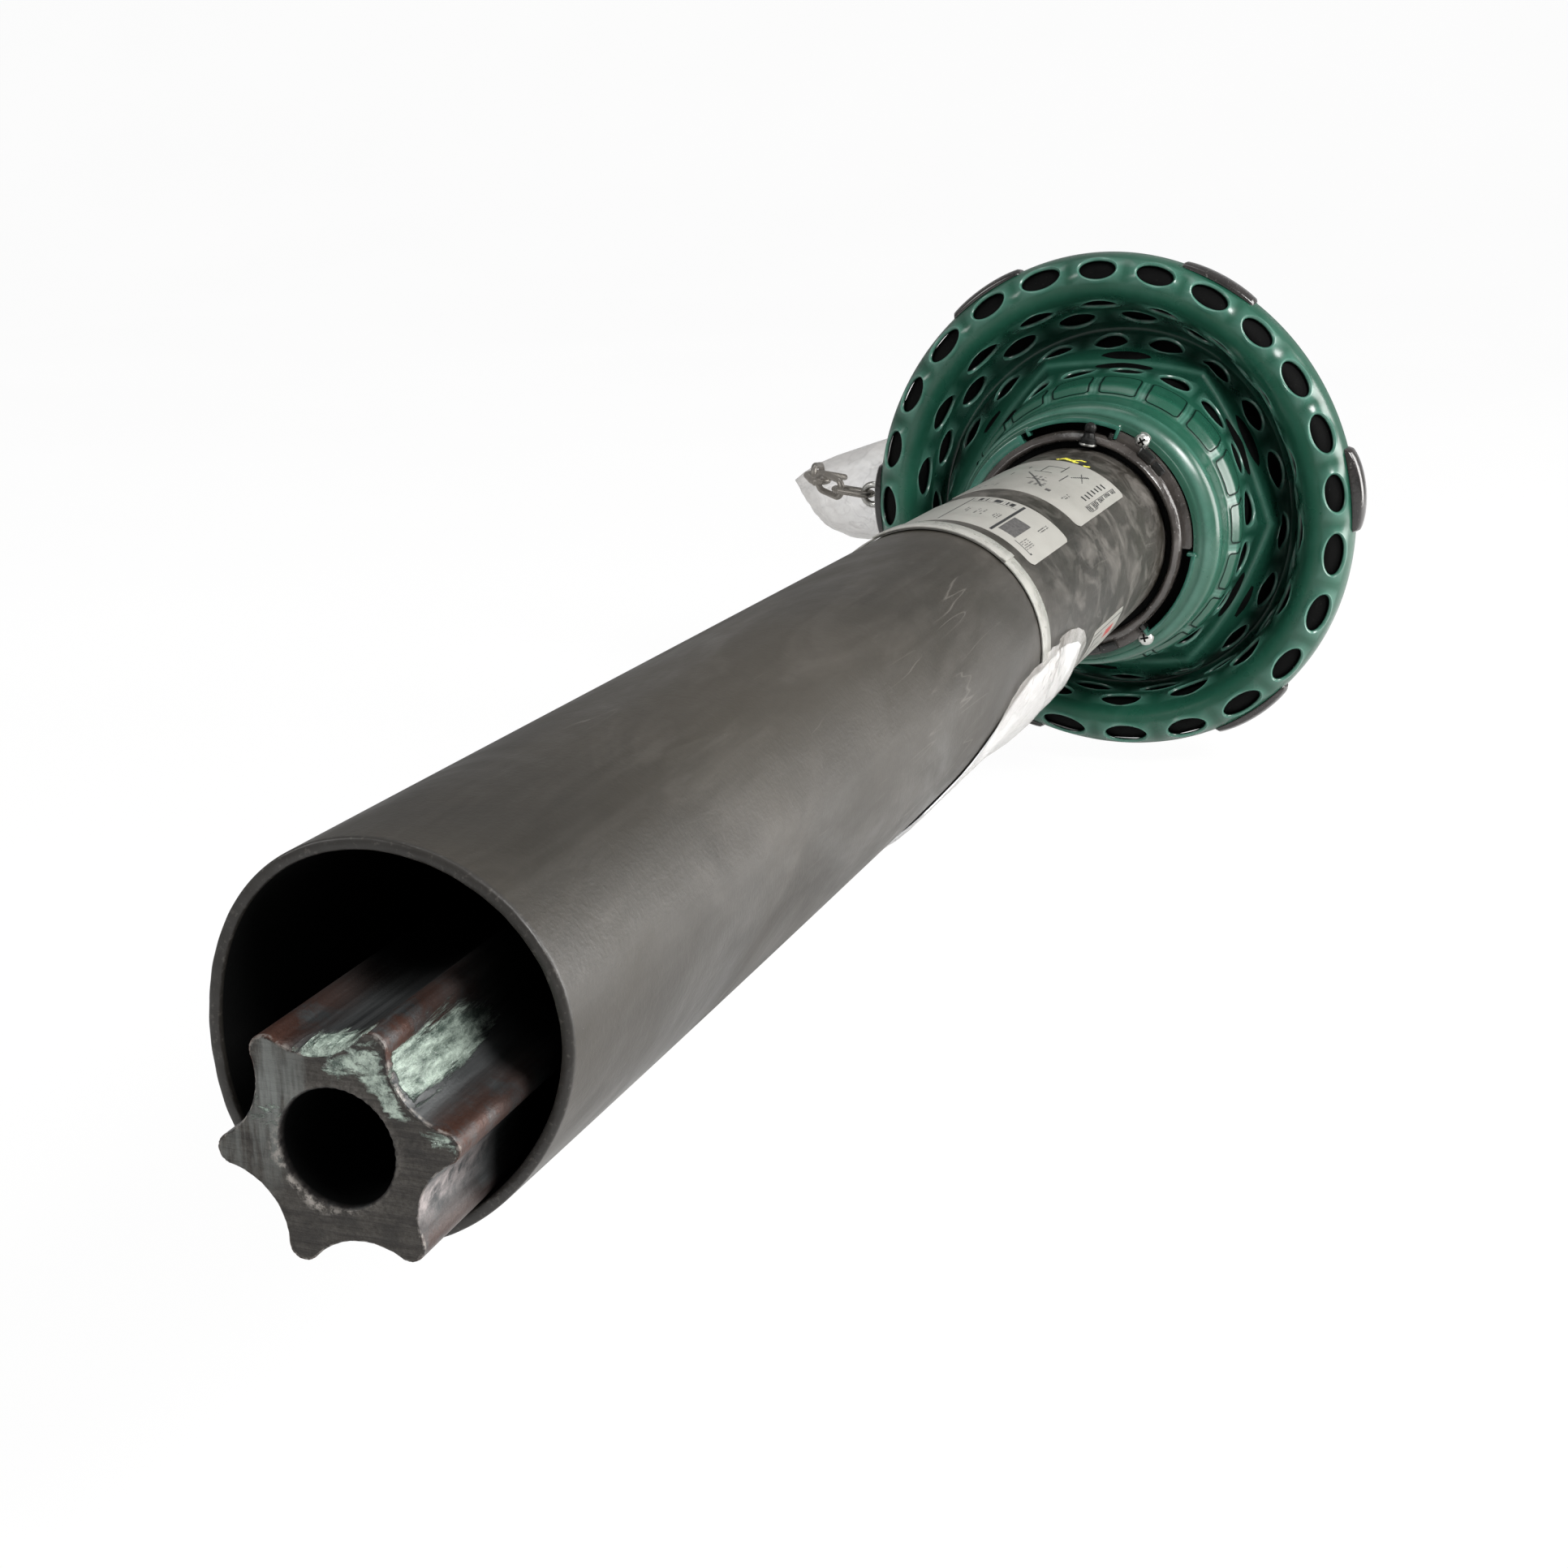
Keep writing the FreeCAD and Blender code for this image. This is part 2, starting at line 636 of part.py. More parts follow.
def labels():
    """Two printed labels and a plain sticker on the tube."""
    face = size.guard_od / 2 + 0.02
    for name, start, end, turn, arc in (
            ("data_label", size.data_from, size.data_to, size.data_turn, size.data_arc),
            ("barcode_label", size.code_from, size.code_to, size.code_turn, size.code_arc),
            ("plain_sticker", size.sticker_from, size.sticker_to, size.sticker_turn,
             size.sticker_arc)):
        sector(name, band(start, end, face, face + size.label_thick), turn, arc)


def packing_strap():
    """Plastic strap round the tube."""
    radius = size.guard_od / 2 + size.strap_gap
    corners = band(size.strap_from, size.strap_to, radius, radius + size.strap_thick)
    finish(turned("packing_strap", corners), GUARD)


def document_pouch():
    """Clear sleeve curved round the tube, its film tail running under the strap."""
    inside, outside, skin = size.pouch_in, size.pouch_out, size.pouch_skin
    body = turned("document_pouch", band(size.pouch_from, size.pouch_to, inside, outside),
                  angle=size.pouch_arc)
    hollow = band(size.pouch_from + 2, size.pouch_to - 2, inside + skin, outside - skin)
    groove(body, outline(body, XZ, hollow, start_at(91.0)), size.pouch_arc - 2)
    tail = band(size.pouch_to - 0.5, size.tail_to, inside, inside + size.film)
    revolve(body, outline(body, XZ, tail), size.tail_arc)
    finish(body, GUARD * start_at(size.pouch_turn))


def manual_sheet():
    """Folded sheet inside the pouch."""
    gap = size.pouch_skin + size.sheet_gap
    sector("manual_sheet",
           band(size.pouch_from + 4, size.pouch_to - 4, size.pouch_in + gap, size.pouch_out - gap),
           size.pouch_turn + 2.2, size.pouch_arc - 4.4)


# ---- safety chain, its eye on the lining's tab, and the clear bag ----------
TO_Y = Rotation(AXIS_X, -90)                  # cylinder axis to +Y
EYE_CENTRE = size.chain_seat + size.eye_rad + 2.1


def primitive(kind, name, sizes, place):
    solid = doc.addObject("Part::" + kind, name)
    for prop, value in sizes.items():
        set_size(solid, prop, value)
    solid.Placement = place
    return solid


def chain_anchor():
    """Eye on a shank with a washer."""
    seat = size.chain_seat
    washer = primitive("Cylinder", "anchor_washer", {"Radius": 5.0, "Height": 2.0},
                       Placement(point(size.eye_at, seat - 5.4), TO_Y))
    stem = primitive("Cylinder", "anchor_stem", {"Radius": size.eye_shank, "Height": 8.2},
                     Placement(point(size.eye_at, seat - 5.0), TO_Y))
    eye = primitive("Torus", "anchor_eye", {"Radius1": size.eye_rad, "Radius2": size.eye_wire},
                    Placement(point(size.eye_at, EYE_CENTRE), Rotation(Vector(0, 1, 0), 90)))
    anchor = doc.addObject("Part::MultiFuse", "chain_anchor")
    anchor.Shapes = [washer, stem, eye]
    finish(anchor, GUARD)


def chain_link():
    """Oval link, long along X, flat in XY."""
    wire, half = size.chain_wire.value, size.chain_half.value
    straight = size.link_half.value - half
    parts = [Part.makeCylinder(wire, 2 * straight, Vector(-straight, side * half, 0), AXIS_X)
             for side in (1, -1)]
    for side in (1, -1):
        bend = Part.makeTorus(half, wire, Vector(), Vector(0, 0, 1), -180, 180, 180)
        bend.Placement = Placement(Vector(side * straight, 0, 0),
                                   Rotation(Vector(0, 0, 1), -90 * side))
        parts.append(bend)
    return parts[0].multiFuse(parts[1:]).removeSplitter()


def safety_chain():
    """Links along a curved path, each rolled a quarter turn from the last."""
    half_pitch = size.chain_pitch.value / 2.0
    first_end = point(size.eye_at,
                      EYE_CENTRE + size.eye_rad - size.eye_wire - size.chain_wire - 0.4)
    up = Vector(0, 0, 1)
    places = []
    middle = previous = None
    for k, (heading, lift) in enumerate(CHAIN_PATH):
        turn, rise = math.radians(heading), math.radians(lift)
        along = Vector(math.sin(turn) * math.cos(rise), math.cos(turn) * math.cos(rise),
                       math.sin(rise))
        if middle is None:
            middle = first_end + along * size.link_half.value
        else:
            middle = middle + previous * half_pitch + along * half_pitch
        upright = up - along * up.dot(along)
        upright.normalize()
        across = along.cross(upright) if k % 2 == 0 else upright
        places.append(GUARD * frame(along, across, along.cross(across), middle))
        previous = along
    add_shape("safety_chain", copies(chain_link(), places))


def chain_bag():
    """Thin hollow bag round the chain, open where the eye enters it."""
    place = shift(size.eye_at + 28.0, size.chain_seat + size.bag_wide + 2.0)
    half_axes = {"Radius1": size.bag_deep, "Radius2": size.bag_long, "Radius3": size.bag_wide}
    outside = primitive("Ellipsoid", "bag_outer", half_axes, place)
    inside = primitive("Ellipsoid", "bag_inner",
                       {prop: half - size.bag_skin for prop, half in half_axes.items()}, place)
    gate = primitive("Cylinder", "bag_gate", {"Radius": 9.6, "Height": 26.0},
                     Placement(point(size.eye_at, size.chain_seat - 2.0), TO_Y))
    tool = doc.addObject("Part::MultiFuse", "bag_tool")
    tool.Shapes = [inside, gate]
    bag = doc.addObject("Part::Cut", "chain_bag")
    bag.Base = outside
    bag.Tool = tool
    finish(bag, GUARD)


# ==== shaft and inner yoke =================================================
PIN_HOLE = size.roll_rad + 0.02


def profile_tube():
    """Six-lobe steel with a round bore, cross-drilled for its pin."""
    stick_out = size.star_stick_out
    body = new_body("profile_tube")
    sketch = new_sketch(body, YZ)
    add_star(sketch, size.star_turn.value, 0.0)
    add_circle(sketch, 0, 0, size.star_bore)
    pad(body, sketch, size.star_end + stick_out)
    hole_at = size.cross_at - size.roll_x + stick_out
    pocket(body, disc(body, XZ, hole_at, 0, PIN_HOLE), 120.0, middle=True)
    finish(body, shift(-mouth_station - stick_out))


def fork_arms(body):
    """Arms and ear bosses as one pad: two slanted sides, an end and an arc."""
    boss, half, reach = size.ear_boss, size.arm_half, size.hub_near + 6
    sketch = new_sketch(body, XY)
    top, bottom = point(0, boss), point(0, -boss)
    far_top, far_bottom = point(reach, half), point(reach, -half)
    for edge in (Part.LineSegment(top, far_top), Part.LineSegment(far_top, far_bottom),
                 Part.LineSegment(far_bottom, bottom), Part.Arc(bottom, point(-boss), top)):
        sketch.addGeometry(edge, False)
    for joined in ((0, 2, 1, 1), (1, 2, 2, 1), (2, 2, 3, 2), (3, 1, 0, 1)):
        sketch.addConstraint(Sketcher.Constraint("Coincident", *joined))
    index = sketch.addConstraint(Sketcher.Constraint("Radius", 3, boss.value))
    name_and_bind(sketch, index, "boss_radius", boss.text)
    bind_point(sketch, "near", 0, 2, reach, half)
    bind_point(sketch, "far", 2, 1, reach, -half)
    sketch.addConstraint(Sketcher.Constraint("Coincident", 3, 3, -1, 1))
    sketch.addConstraint(Sketcher.Constraint("PointOnObject", 0, 1, -2))
    sketch.addConstraint(Sketcher.Constraint("PointOnObject", 2, 2, -2))
    pad(body, sketch, size.ear_half * 2, middle=True)


def yoke(name):
    """Forked hub, joint centre at the local origin, hub along +X, ears on Z."""
    body = new_body(name)
    near, far, hub = size.hub_near, size.hub_far, size.hub_rad
    revolve(body, outline(body, XZ, [(near, 0), (near, hub), (far - 1.5, hub),
                                     (far, hub - 1.5), (far, 0)]))
    fork_arms(body)
    # gap between the ears: x, and z of the upper half
    inner = size.ear_inner
    gap = [(-60, inner), (34, inner), (43, inner - 5.5), (47.6, inner - 13.5),
           (48.6, inner - 21)]
    mirrored = [(x, -z) for x, z in reversed(gap)]
    pocket(body, outline(body, XZ, gap + mirrored), 140.0, middle=True)
    # the ears rounded about the hub axis: x, radius
    groove(body, outline(body, XZ, [
        (-60, 30), (-24, 46.5), (-14, 52.4), (-4, 54.2), (8, 54.2), (20, 51.6), (32, 46.5),
        (43, 40.0), (50.5, 35.0), (56, hub), (far + 3, hub), (far + 3, 80), (-60, 80)]))
    pocket(body, disc(body, XY, 0, 0, size.cup_rad + size.cup_gap), 140.0, middle=True)
    # circlip grooves
    low, high = size.cup_out + 0.02, size.cup_out + 0.1 + size.clip_thick
    for start, end in ((low, high), (-low, -high)):
        corners = box(size.cup_rad - 1.5, size.clip_rad + 0.1, start, end)
        groove(body, outline(body, XZ, corners), axis="V_Axis")
    return body


def inner_yoke():
    """Yoke with the star socket, bearing groove and the hole for its pin."""
    body = yoke("inner_yoke")
    socket = new_sketch(body, YZ, shift(z=size.cross_at - size.star_end - 0.4))
    add_star(socket, 180.0 - size.star_turn.value, size.star_gap.value)
    pocket(body, socket, 60.0, reverse=True)
    groove(body, outline(body, XZ, band(size.groove_from, size.groove_to,
                                        size.groove_rad, size.hub_rad + 2)))
    pocket(body, disc(body, XZ, size.roll_x, 0, PIN_HOLE), 120.0, middle=True)
    finish(body, INNER)


def roll_pin():
    """Slotted tubular pin through hub and profile, along Y."""
    bore, radius, half = size.roll_bore, size.roll_rad, size.roll_half
    body = turned("roll_pin", [
        (bore, -half), (radius - 0.6, -half), (radius, -half + 1.5), (radius, half - 1.5),
        (radius - 0.6, half), (bore, half)], axis="V_Axis", role=XY)
    pocket(body, outline(body, YZ, box(-half - 1, half + 1, -0.5, 0.5)), 12.0)
    finish(body, shift(-size.mouth_reach - size.roll_x))


# ==== bearings and cross ===================================================
def needles(places):
    """Full ring of needles in each cup."""
    one = Part.makeCylinder(size.needle_dia.value / 2,
                            size.needle_to.value - size.needle_from.value,
                            point(0, 0, size.needle_from))
    ring = [Placement(polar_point(size.needle_pitch, 360.0 * k / NEEDLE_COUNT + NEEDLE_START),
                      Rotation()) for k in range(NEEDLE_COUNT)]
    return copies(one, [place * spot for place in places for spot in ring])


def bearings():
    """Cups, needles and circlips: one pair for each yoke."""
    radius, bore, out = size.cup_rad, size.cup_bore, size.cup_out
    floor = out - size.cup_floor
    cup = turned("cup_one", [
        (0, out), (radius - 1.2, out), (radius, out - 1.2), (radius, size.cup_in + 0.4),
        (radius - 0.4, size.cup_in), (bore, size.cup_in), (bore, floor), (0, floor)],
        axis="V_Axis")
    clip = turned("circlip_one", box(size.clip_inner, size.clip_rad - 0.05,
                                     out + 0.06, out + 0.04 + size.clip_thick),
                  axis="V_Axis", angle=325.0)
    for side, places in (("inner", INNER_BEARINGS), ("outer", OUTER_BEARINGS)):
        add_shape(side + "_bearing_cups", copies(cup.Shape, places))
        add_shape(side + "_needles", needles(places))
        add_shape(side + "_snap_rings", copies(clip.Shape, places))


def cross_spider():
    """Two crossed trunnion bars on a short round core, bored for the nipple."""
    radius, end = size.trunnion_rad, size.trunnion_end
    shoulder = size.seal_in - 0.2
    bar = [(0, -end), (radius - 0.8, -end), (radius, -end + 0.8), (radius, -shoulder),
           (13.6, -shoulder), (14.6, -16), (14.6, 16), (13.6, shoulder),
           (radius, shoulder), (radius, end - 0.8), (radius - 0.8, end), (0, end)]
    body = turned("cross_spider", bar, axis="V_Axis")
    revolve(body, outline(body, XY, bar), axis="V_Axis")
    revolve(body, outline(body, XZ, [(-12, 0), (-12, 17), (-10, 19), (10, 19),
                                     (12, 17), (12, 0)]))
    # nipple bore and the flat seat round it, between +Y and +Z
    lean = turn_x(-45)
    pocket(body, disc(body, XY, 0, 0, 2.6, lean), 40.0, reverse=True)
    pocket(body, disc(body, XY, 0, 0, 4.5, lean * shift(z=19.05)), 20.0, reverse=True)
    finish(body, CROSS_FRAME)


def cross_seals():
    """Four cupped seals at the roots of the trunnions."""
    bore, radius, top = size.seal_bore, size.seal_rad, size.seal_out
    seal = turned("seal_one", [
        (bore, size.seal_in), (radius, size.seal_in), (radius, top), (radius - 1.4, top),
        (radius - 1.8, top - 1.2), (bore, top - 1.2)], axis="V_Axis")
    add_shape("cross_seals", copies(seal.Shape, INNER_BEARINGS + OUTER_BEARINGS))


def cross_grease_nipple():
    """Nipple of the cross: radius, height from the joint centre."""
    body = turned("cross_grease_nipple", [
        (0, 6), (2.5, 6), (2.5, 19.1), (4.0, 19.1), (4.0, 22.0), (2.2, 22.6),
        (1.7, 25.4), (2.3, 26.6), (2.3, 28.2), (1.0, 29.4), (0, 29.4)], axis="V_Axis")
    finish(body, Placement(CROSS, Rotation(AXIS_X, -45)))


# ==== outer yoke and lock pin ==============================================
def outer_yoke():
    """Yoke with the splined bore, and the boss, bore and spring pocket of the pin."""
    body = yoke("outer_yoke")
    pin_x, pin_z = size.pin_x, -size.pin_y
    pad(body, disc(body, XZ, pin_x, pin_z, size.pin_boss), size.boss_half * 2, middle=True)
    bore_start = shift(z=40)
    pocket(body, disc(body, YZ, 0, 0, size.spline_minor, bore_start), 80.0, reverse=True)
    half = size.spline_width / 2
    corner = size.spline_major - 0.55
    slot = outline(body, YZ, [(-half, 9.0), (half, 9.0), (half, corner),
                              (0, size.spline_major), (-half, corner)], bore_start)
    cut = pocket(body, slot, 80.0, reverse=True)
    repeat_round(body, cut, new_sketch(body, XZ), 6)
    pilot_start = shift(z=size.mouth_reach - size.pilot_len)
    pocket(body, disc(body, YZ, 0, 0, size.pilot_rad, pilot_start), size.pilot_len + 5.0,
           reverse=True)
    pocket(body, disc(body, XZ, pin_x, pin_z, size.pin_rad + size.pin_bore_gap), 120.0,
           middle=True)
    pocket(body, disc(body, XZ, pin_x, pin_z, size.pocket_rad, shift(z=-size.pocket_floor)),
           30.0)
    finish(body, OUTER)


def lock_pin():
    """Necked push pin with its button on top and a keeper groove below."""
    radius, low, neck = size.pin_rad, -size.pin_low, size.pin_neck
    boss_end, keeper = -size.boss_half, size.keeper_groove
    button, button_top = size.button_rad, size.button_at + size.button_high
    body = turned("lock_pin", [
        (0, low), (radius - 0.8, low), (radius, low + 0.8),
        (radius, boss_end - 2.45), (keeper, boss_end - 2.45),
        (keeper, boss_end - 0.65), (radius, boss_end - 0.65),
        (radius, -4.4), (neck, -2.6), (neck, 16.6), (radius, 18.4),
        (radius, size.button_at), (button, size.button_at),
        (button, button_top - 1.2), (button - 1.2, button_top), (0, button_top)],
        axis="V_Axis")
    finish(body, LOCK_PIN)


def pin_keeper():
    """Open ring in the pin's groove."""
    top = -size.boss_half - 0.75
    body = turned("pin_keeper", box(size.keeper_groove + 0.05, size.keeper_rad,
                                    top - size.keeper_thick, top),
                  axis="V_Axis", angle=300.0)
    finish(body, LOCK_PIN)


def lock_spring():
    """Compression spring of eight-sided wire under the button."""
    radius, wire_radius = size.coil_rad.value, size.coil_wire.value / 2
    height = size.button_at.value - size.pocket_floor.value - size.coil_wire.value - 0.2
    helix = Part.makeHelix(height / size.coil_turns.value, height, radius)
    corners = [Vector(radius + wire_radius * math.cos(math.pi * i / 4), 0,
                      wire_radius * math.sin(math.pi * i / 4)) for i in range(8)]
    section = Part.makePolygon(corners + [corners[0]])
    coil = Part.Wire(helix.Edges).makePipeShell([section], True, True)
    add_shape("lock_spring", coil, LOCK_PIN * shift(z=size.pocket_floor + wire_radius + 0.1))


# ==== build, check and write ===============================================
for build in (guard_tube, tube_collar, bearing_ring, guard_cone, cone_liner,
              collar_screws, ring_grease_nipple, labels, packing_strap,
              document_pouch, manual_sheet, chain_anchor, safety_chain, chain_bag,
              profile_tube, inner_yoke, roll_pin, bearings, cross_spider,
              cross_seals, cross_grease_nipple, outer_yoke, lock_pin, pin_keeper,
              lock_spring):
    build()

doc.recompute()
bad = [o.Name for o in doc.Objects if "Invalid" in o.State or "Error" in o.State]
if bad:
    raise RuntimeError("objects in error: %s" % bad)
os.makedirs("parts", exist_ok=True)
for piece in PIECES:
    shape = piece.Shape
    if shape.isNull() or not shape.isValid() or not shape.Solids:
        raise RuntimeError("%s is not a valid solid" % piece.Label)
    shape.exportStep("parts/%s.step" % piece.Label)
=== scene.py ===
# The end of a drive shaft in its plastic safety guard: a six-lobed steel tube inside a
# black guard tube, with a collar and a vented green cone, labels, a packing strap, a
# document sleeve and a chain in a clear bag.
#
# Row frame: metres, shaft along X with its free end toward -X, +Z up.
# Guard frame: millimetres. A point is (station, Y, Z), the station being the distance
# from the tube's free end toward +X. Angles are degrees about the axis, 0 at +Y and 90
# at +Z, so round parts are given as station, radius and angle.
import math

import bpy
import numpy as np
from mathutils import Matrix, Vector


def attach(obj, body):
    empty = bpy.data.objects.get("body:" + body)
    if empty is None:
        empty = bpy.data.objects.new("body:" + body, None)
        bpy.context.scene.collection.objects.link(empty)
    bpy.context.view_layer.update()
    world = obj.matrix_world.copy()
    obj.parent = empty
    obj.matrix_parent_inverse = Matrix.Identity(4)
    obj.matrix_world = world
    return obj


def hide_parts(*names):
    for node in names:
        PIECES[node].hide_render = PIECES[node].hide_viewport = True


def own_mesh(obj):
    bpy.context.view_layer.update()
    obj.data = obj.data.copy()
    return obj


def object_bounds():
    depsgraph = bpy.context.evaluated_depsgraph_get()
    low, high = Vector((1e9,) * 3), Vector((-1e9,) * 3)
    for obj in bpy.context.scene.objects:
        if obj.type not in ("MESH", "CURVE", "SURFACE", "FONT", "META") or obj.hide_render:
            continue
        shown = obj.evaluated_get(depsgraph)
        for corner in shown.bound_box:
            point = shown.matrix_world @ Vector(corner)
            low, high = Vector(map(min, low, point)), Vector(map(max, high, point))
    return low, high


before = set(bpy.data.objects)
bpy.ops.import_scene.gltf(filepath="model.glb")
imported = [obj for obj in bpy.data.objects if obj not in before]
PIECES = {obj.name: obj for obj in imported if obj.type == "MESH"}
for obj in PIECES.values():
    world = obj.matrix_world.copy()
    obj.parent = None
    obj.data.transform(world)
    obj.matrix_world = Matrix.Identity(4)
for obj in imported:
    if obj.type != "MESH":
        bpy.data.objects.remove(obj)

scene = bpy.context.scene


def plain_box(box):
    return [[float(c) for c in corner] for corner in box]


CAD_BOX = plain_box(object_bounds())

# ---------------------------------------------------------------- frames ----
TUBE_R = 38.0
PIVOT_STATION = 600.0
PIVOT_ROW = np.array([-160.0, 0.0, 0.0])    # where that station sits in the row, mm
END_OFFSET = np.array([3.9, 10.3])          # Y and Z shift of the tipped free end

TIP_ANGLE = math.asin(float(np.hypot(*END_OFFSET)) / PIVOT_STATION)
TIP_AXIS = Vector((0.0, END_OFFSET[1], -END_OFFSET[0])).normalized()
TIP_TURN = np.array(Matrix.Rotation(TIP_ANGLE, 3, TIP_AXIS))


def to_row(points):
    """Guard points in mm to the row frame in metres."""
    from_pivot = np.asarray(points, float) - np.array([PIVOT_STATION, 0.0, 0.0])
    return (from_pivot @ TIP_TURN.T + PIVOT_ROW) * 0.001


def polar(station, radius, deg):
    """Stations, radii and angles to guard points."""
    station, radius, angle = np.broadcast_arrays(
        np.asarray(station, float), np.asarray(radius, float), np.radians(np.asarray(deg, float)))
    return np.stack([station, radius * np.cos(angle), radius * np.sin(angle)], -1)


# ----------------------------------------------------------- curve tools ----
def turn(count):
    """Evenly spaced angles of a full turn."""
    return 360.0 * np.arange(count) / count


def ease(x):
    """Smooth step from 0 to 1."""
    x = np.clip(x, 0, 1)
    return x * x * (3 - 2 * x)


def bell(x, width, power=2):
    return np.exp(-(x / width) ** power)


def run_lengths(points, power=1):
    """Distance run along a line of points; power 0.5 gives centripetal knots."""
    steps = np.linalg.norm(np.diff(points, axis=0), axis=1)
    return np.concatenate([[0], np.cumsum(steps ** power)])


def along(points, lengths, places):
    """Two-column points read off at places along their lengths."""
    return np.stack([np.interp(places, lengths, points[:, i]) for i in (0, 1)], -1)


def rounded(outline, radius, count=4):
    """Closed outline with each corner eased; radius may be one size per corner."""
    outline = [np.asarray(p, float) for p in outline]
    radii = np.broadcast_to(radius, len(outline))
    t = np.linspace(0, 1, count)[:, None]
    arcs = []
    for i, corner in enumerate(outline):
        before = outline[i - 1] - corner
        after = outline[(i + 1) % len(outline)] - corner
        length_b, length_a = np.linalg.norm(before), np.linalg.norm(after)
        cut = min(radii[i], 0.45 * length_b, 0.45 * length_a)
        start = corner + before / length_b * cut
        end = corner + after / length_a * cut
        arcs.append((1 - t) ** 2 * start + 2 * t * (1 - t) * corner + t * t * end)
    return np.concatenate(arcs)


# ---------------------------------------------------------------- meshes ----
def make(name, points, faces, material, replaces=None, body="guard", smooth=True, attrs=None,
         auto=None):
    """Object from row-frame points; edges sharper than auto degrees stay crisp."""
    mesh = bpy.data.meshes.new(name)
    mesh.from_pydata(np.asarray(points).tolist(), [], faces)
    mesh.validate(verbose=False)
    for key, values in (attrs or {}).items():
        layer = mesh.attributes.new(key, "FLOAT", "POINT")
        layer.data.foreach_set("value", np.asarray(values, np.float32))
    obj = bpy.data.objects.new(name, mesh)
    scene.collection.objects.link(obj)
    if smooth:
        mesh.polygons.foreach_set("use_smooth", [True] * len(mesh.polygons))
    mesh.materials.append(material)
    if auto is not None:
        mesh.set_sharp_from_angle(angle=math.radians(auto))
    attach(obj, body)
    if replaces:
        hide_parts(replaces)


def grid_faces(rows, cols, wrap_rows=False, wrap_cols=False, base=0, flip=False):
    """Quads over a grid of points, index row * cols + col."""
    faces = []
    for i in range(rows if wrap_rows else rows - 1):
        i2 = (i + 1) % rows
        for j in range(cols if wrap_cols else cols - 1):
            j2 = (j + 1) % cols
            face = (i * cols + j, i2 * cols + j, i2 * cols + j2, i * cols + j2)
            face = tuple(base + k for k in face)
            faces.append(face[::-1] if flip else face)
    return faces


def bridge(first, second, flip=False):
    """Quads between two closed loops of point indices."""
    count = len(first)
    faces = []
    for k in range(count):
        k2 = (k + 1) % count
        face = (first[k], first[k2], second[k2], second[k])
        faces.append(face[::-1] if flip else face)
    return faces


def sheet_faces(rows, cols, flip_rim=False):
    """Faces of a thin sheet: its top grid, then its bottom grid, then the rim."""
    count = rows * cols
    rim = [i * cols for i in range(rows)]
    rim += [(rows - 1) * cols + j for j in range(1, cols)]
    rim += [i * cols + cols - 1 for i in range(rows - 2, -1, -1)]
    rim += list(range(cols - 2, 0, -1))
    if flip_rim:
        rim.reverse()
    return (grid_faces(rows, cols, flip=True) + grid_faces(rows, cols, base=count)
            + bridge(rim, [i + count for i in rim], flip=True))


class Shell:
    """Guard points and faces gathered for one mesh."""

    def __init__(self):
        self.points = []
        self.faces = []

    def add(self, points, faces):
        base = len(self.points)
        self.points.extend(np.asarray(points, float).reshape(-1, 3))
        self.faces += [tuple(base + i for i in face) for face in faces]

    def sweep(self, sections, ring=False):
        """Join closed outlines in order, into a ring or with both ends capped."""
        count, size = len(sections), len(sections[0])
        faces = grid_faces(count, size, ring, True)
        if not ring:
            faces.append(tuple(range(size))[::-1])
            faces.append(tuple(range((count - 1) * size, count * size)))
        self.add(np.array(sections), faces)

    def make(self, name, material, **options):
        make(name, to_row(self.points), self.faces, material, **options)


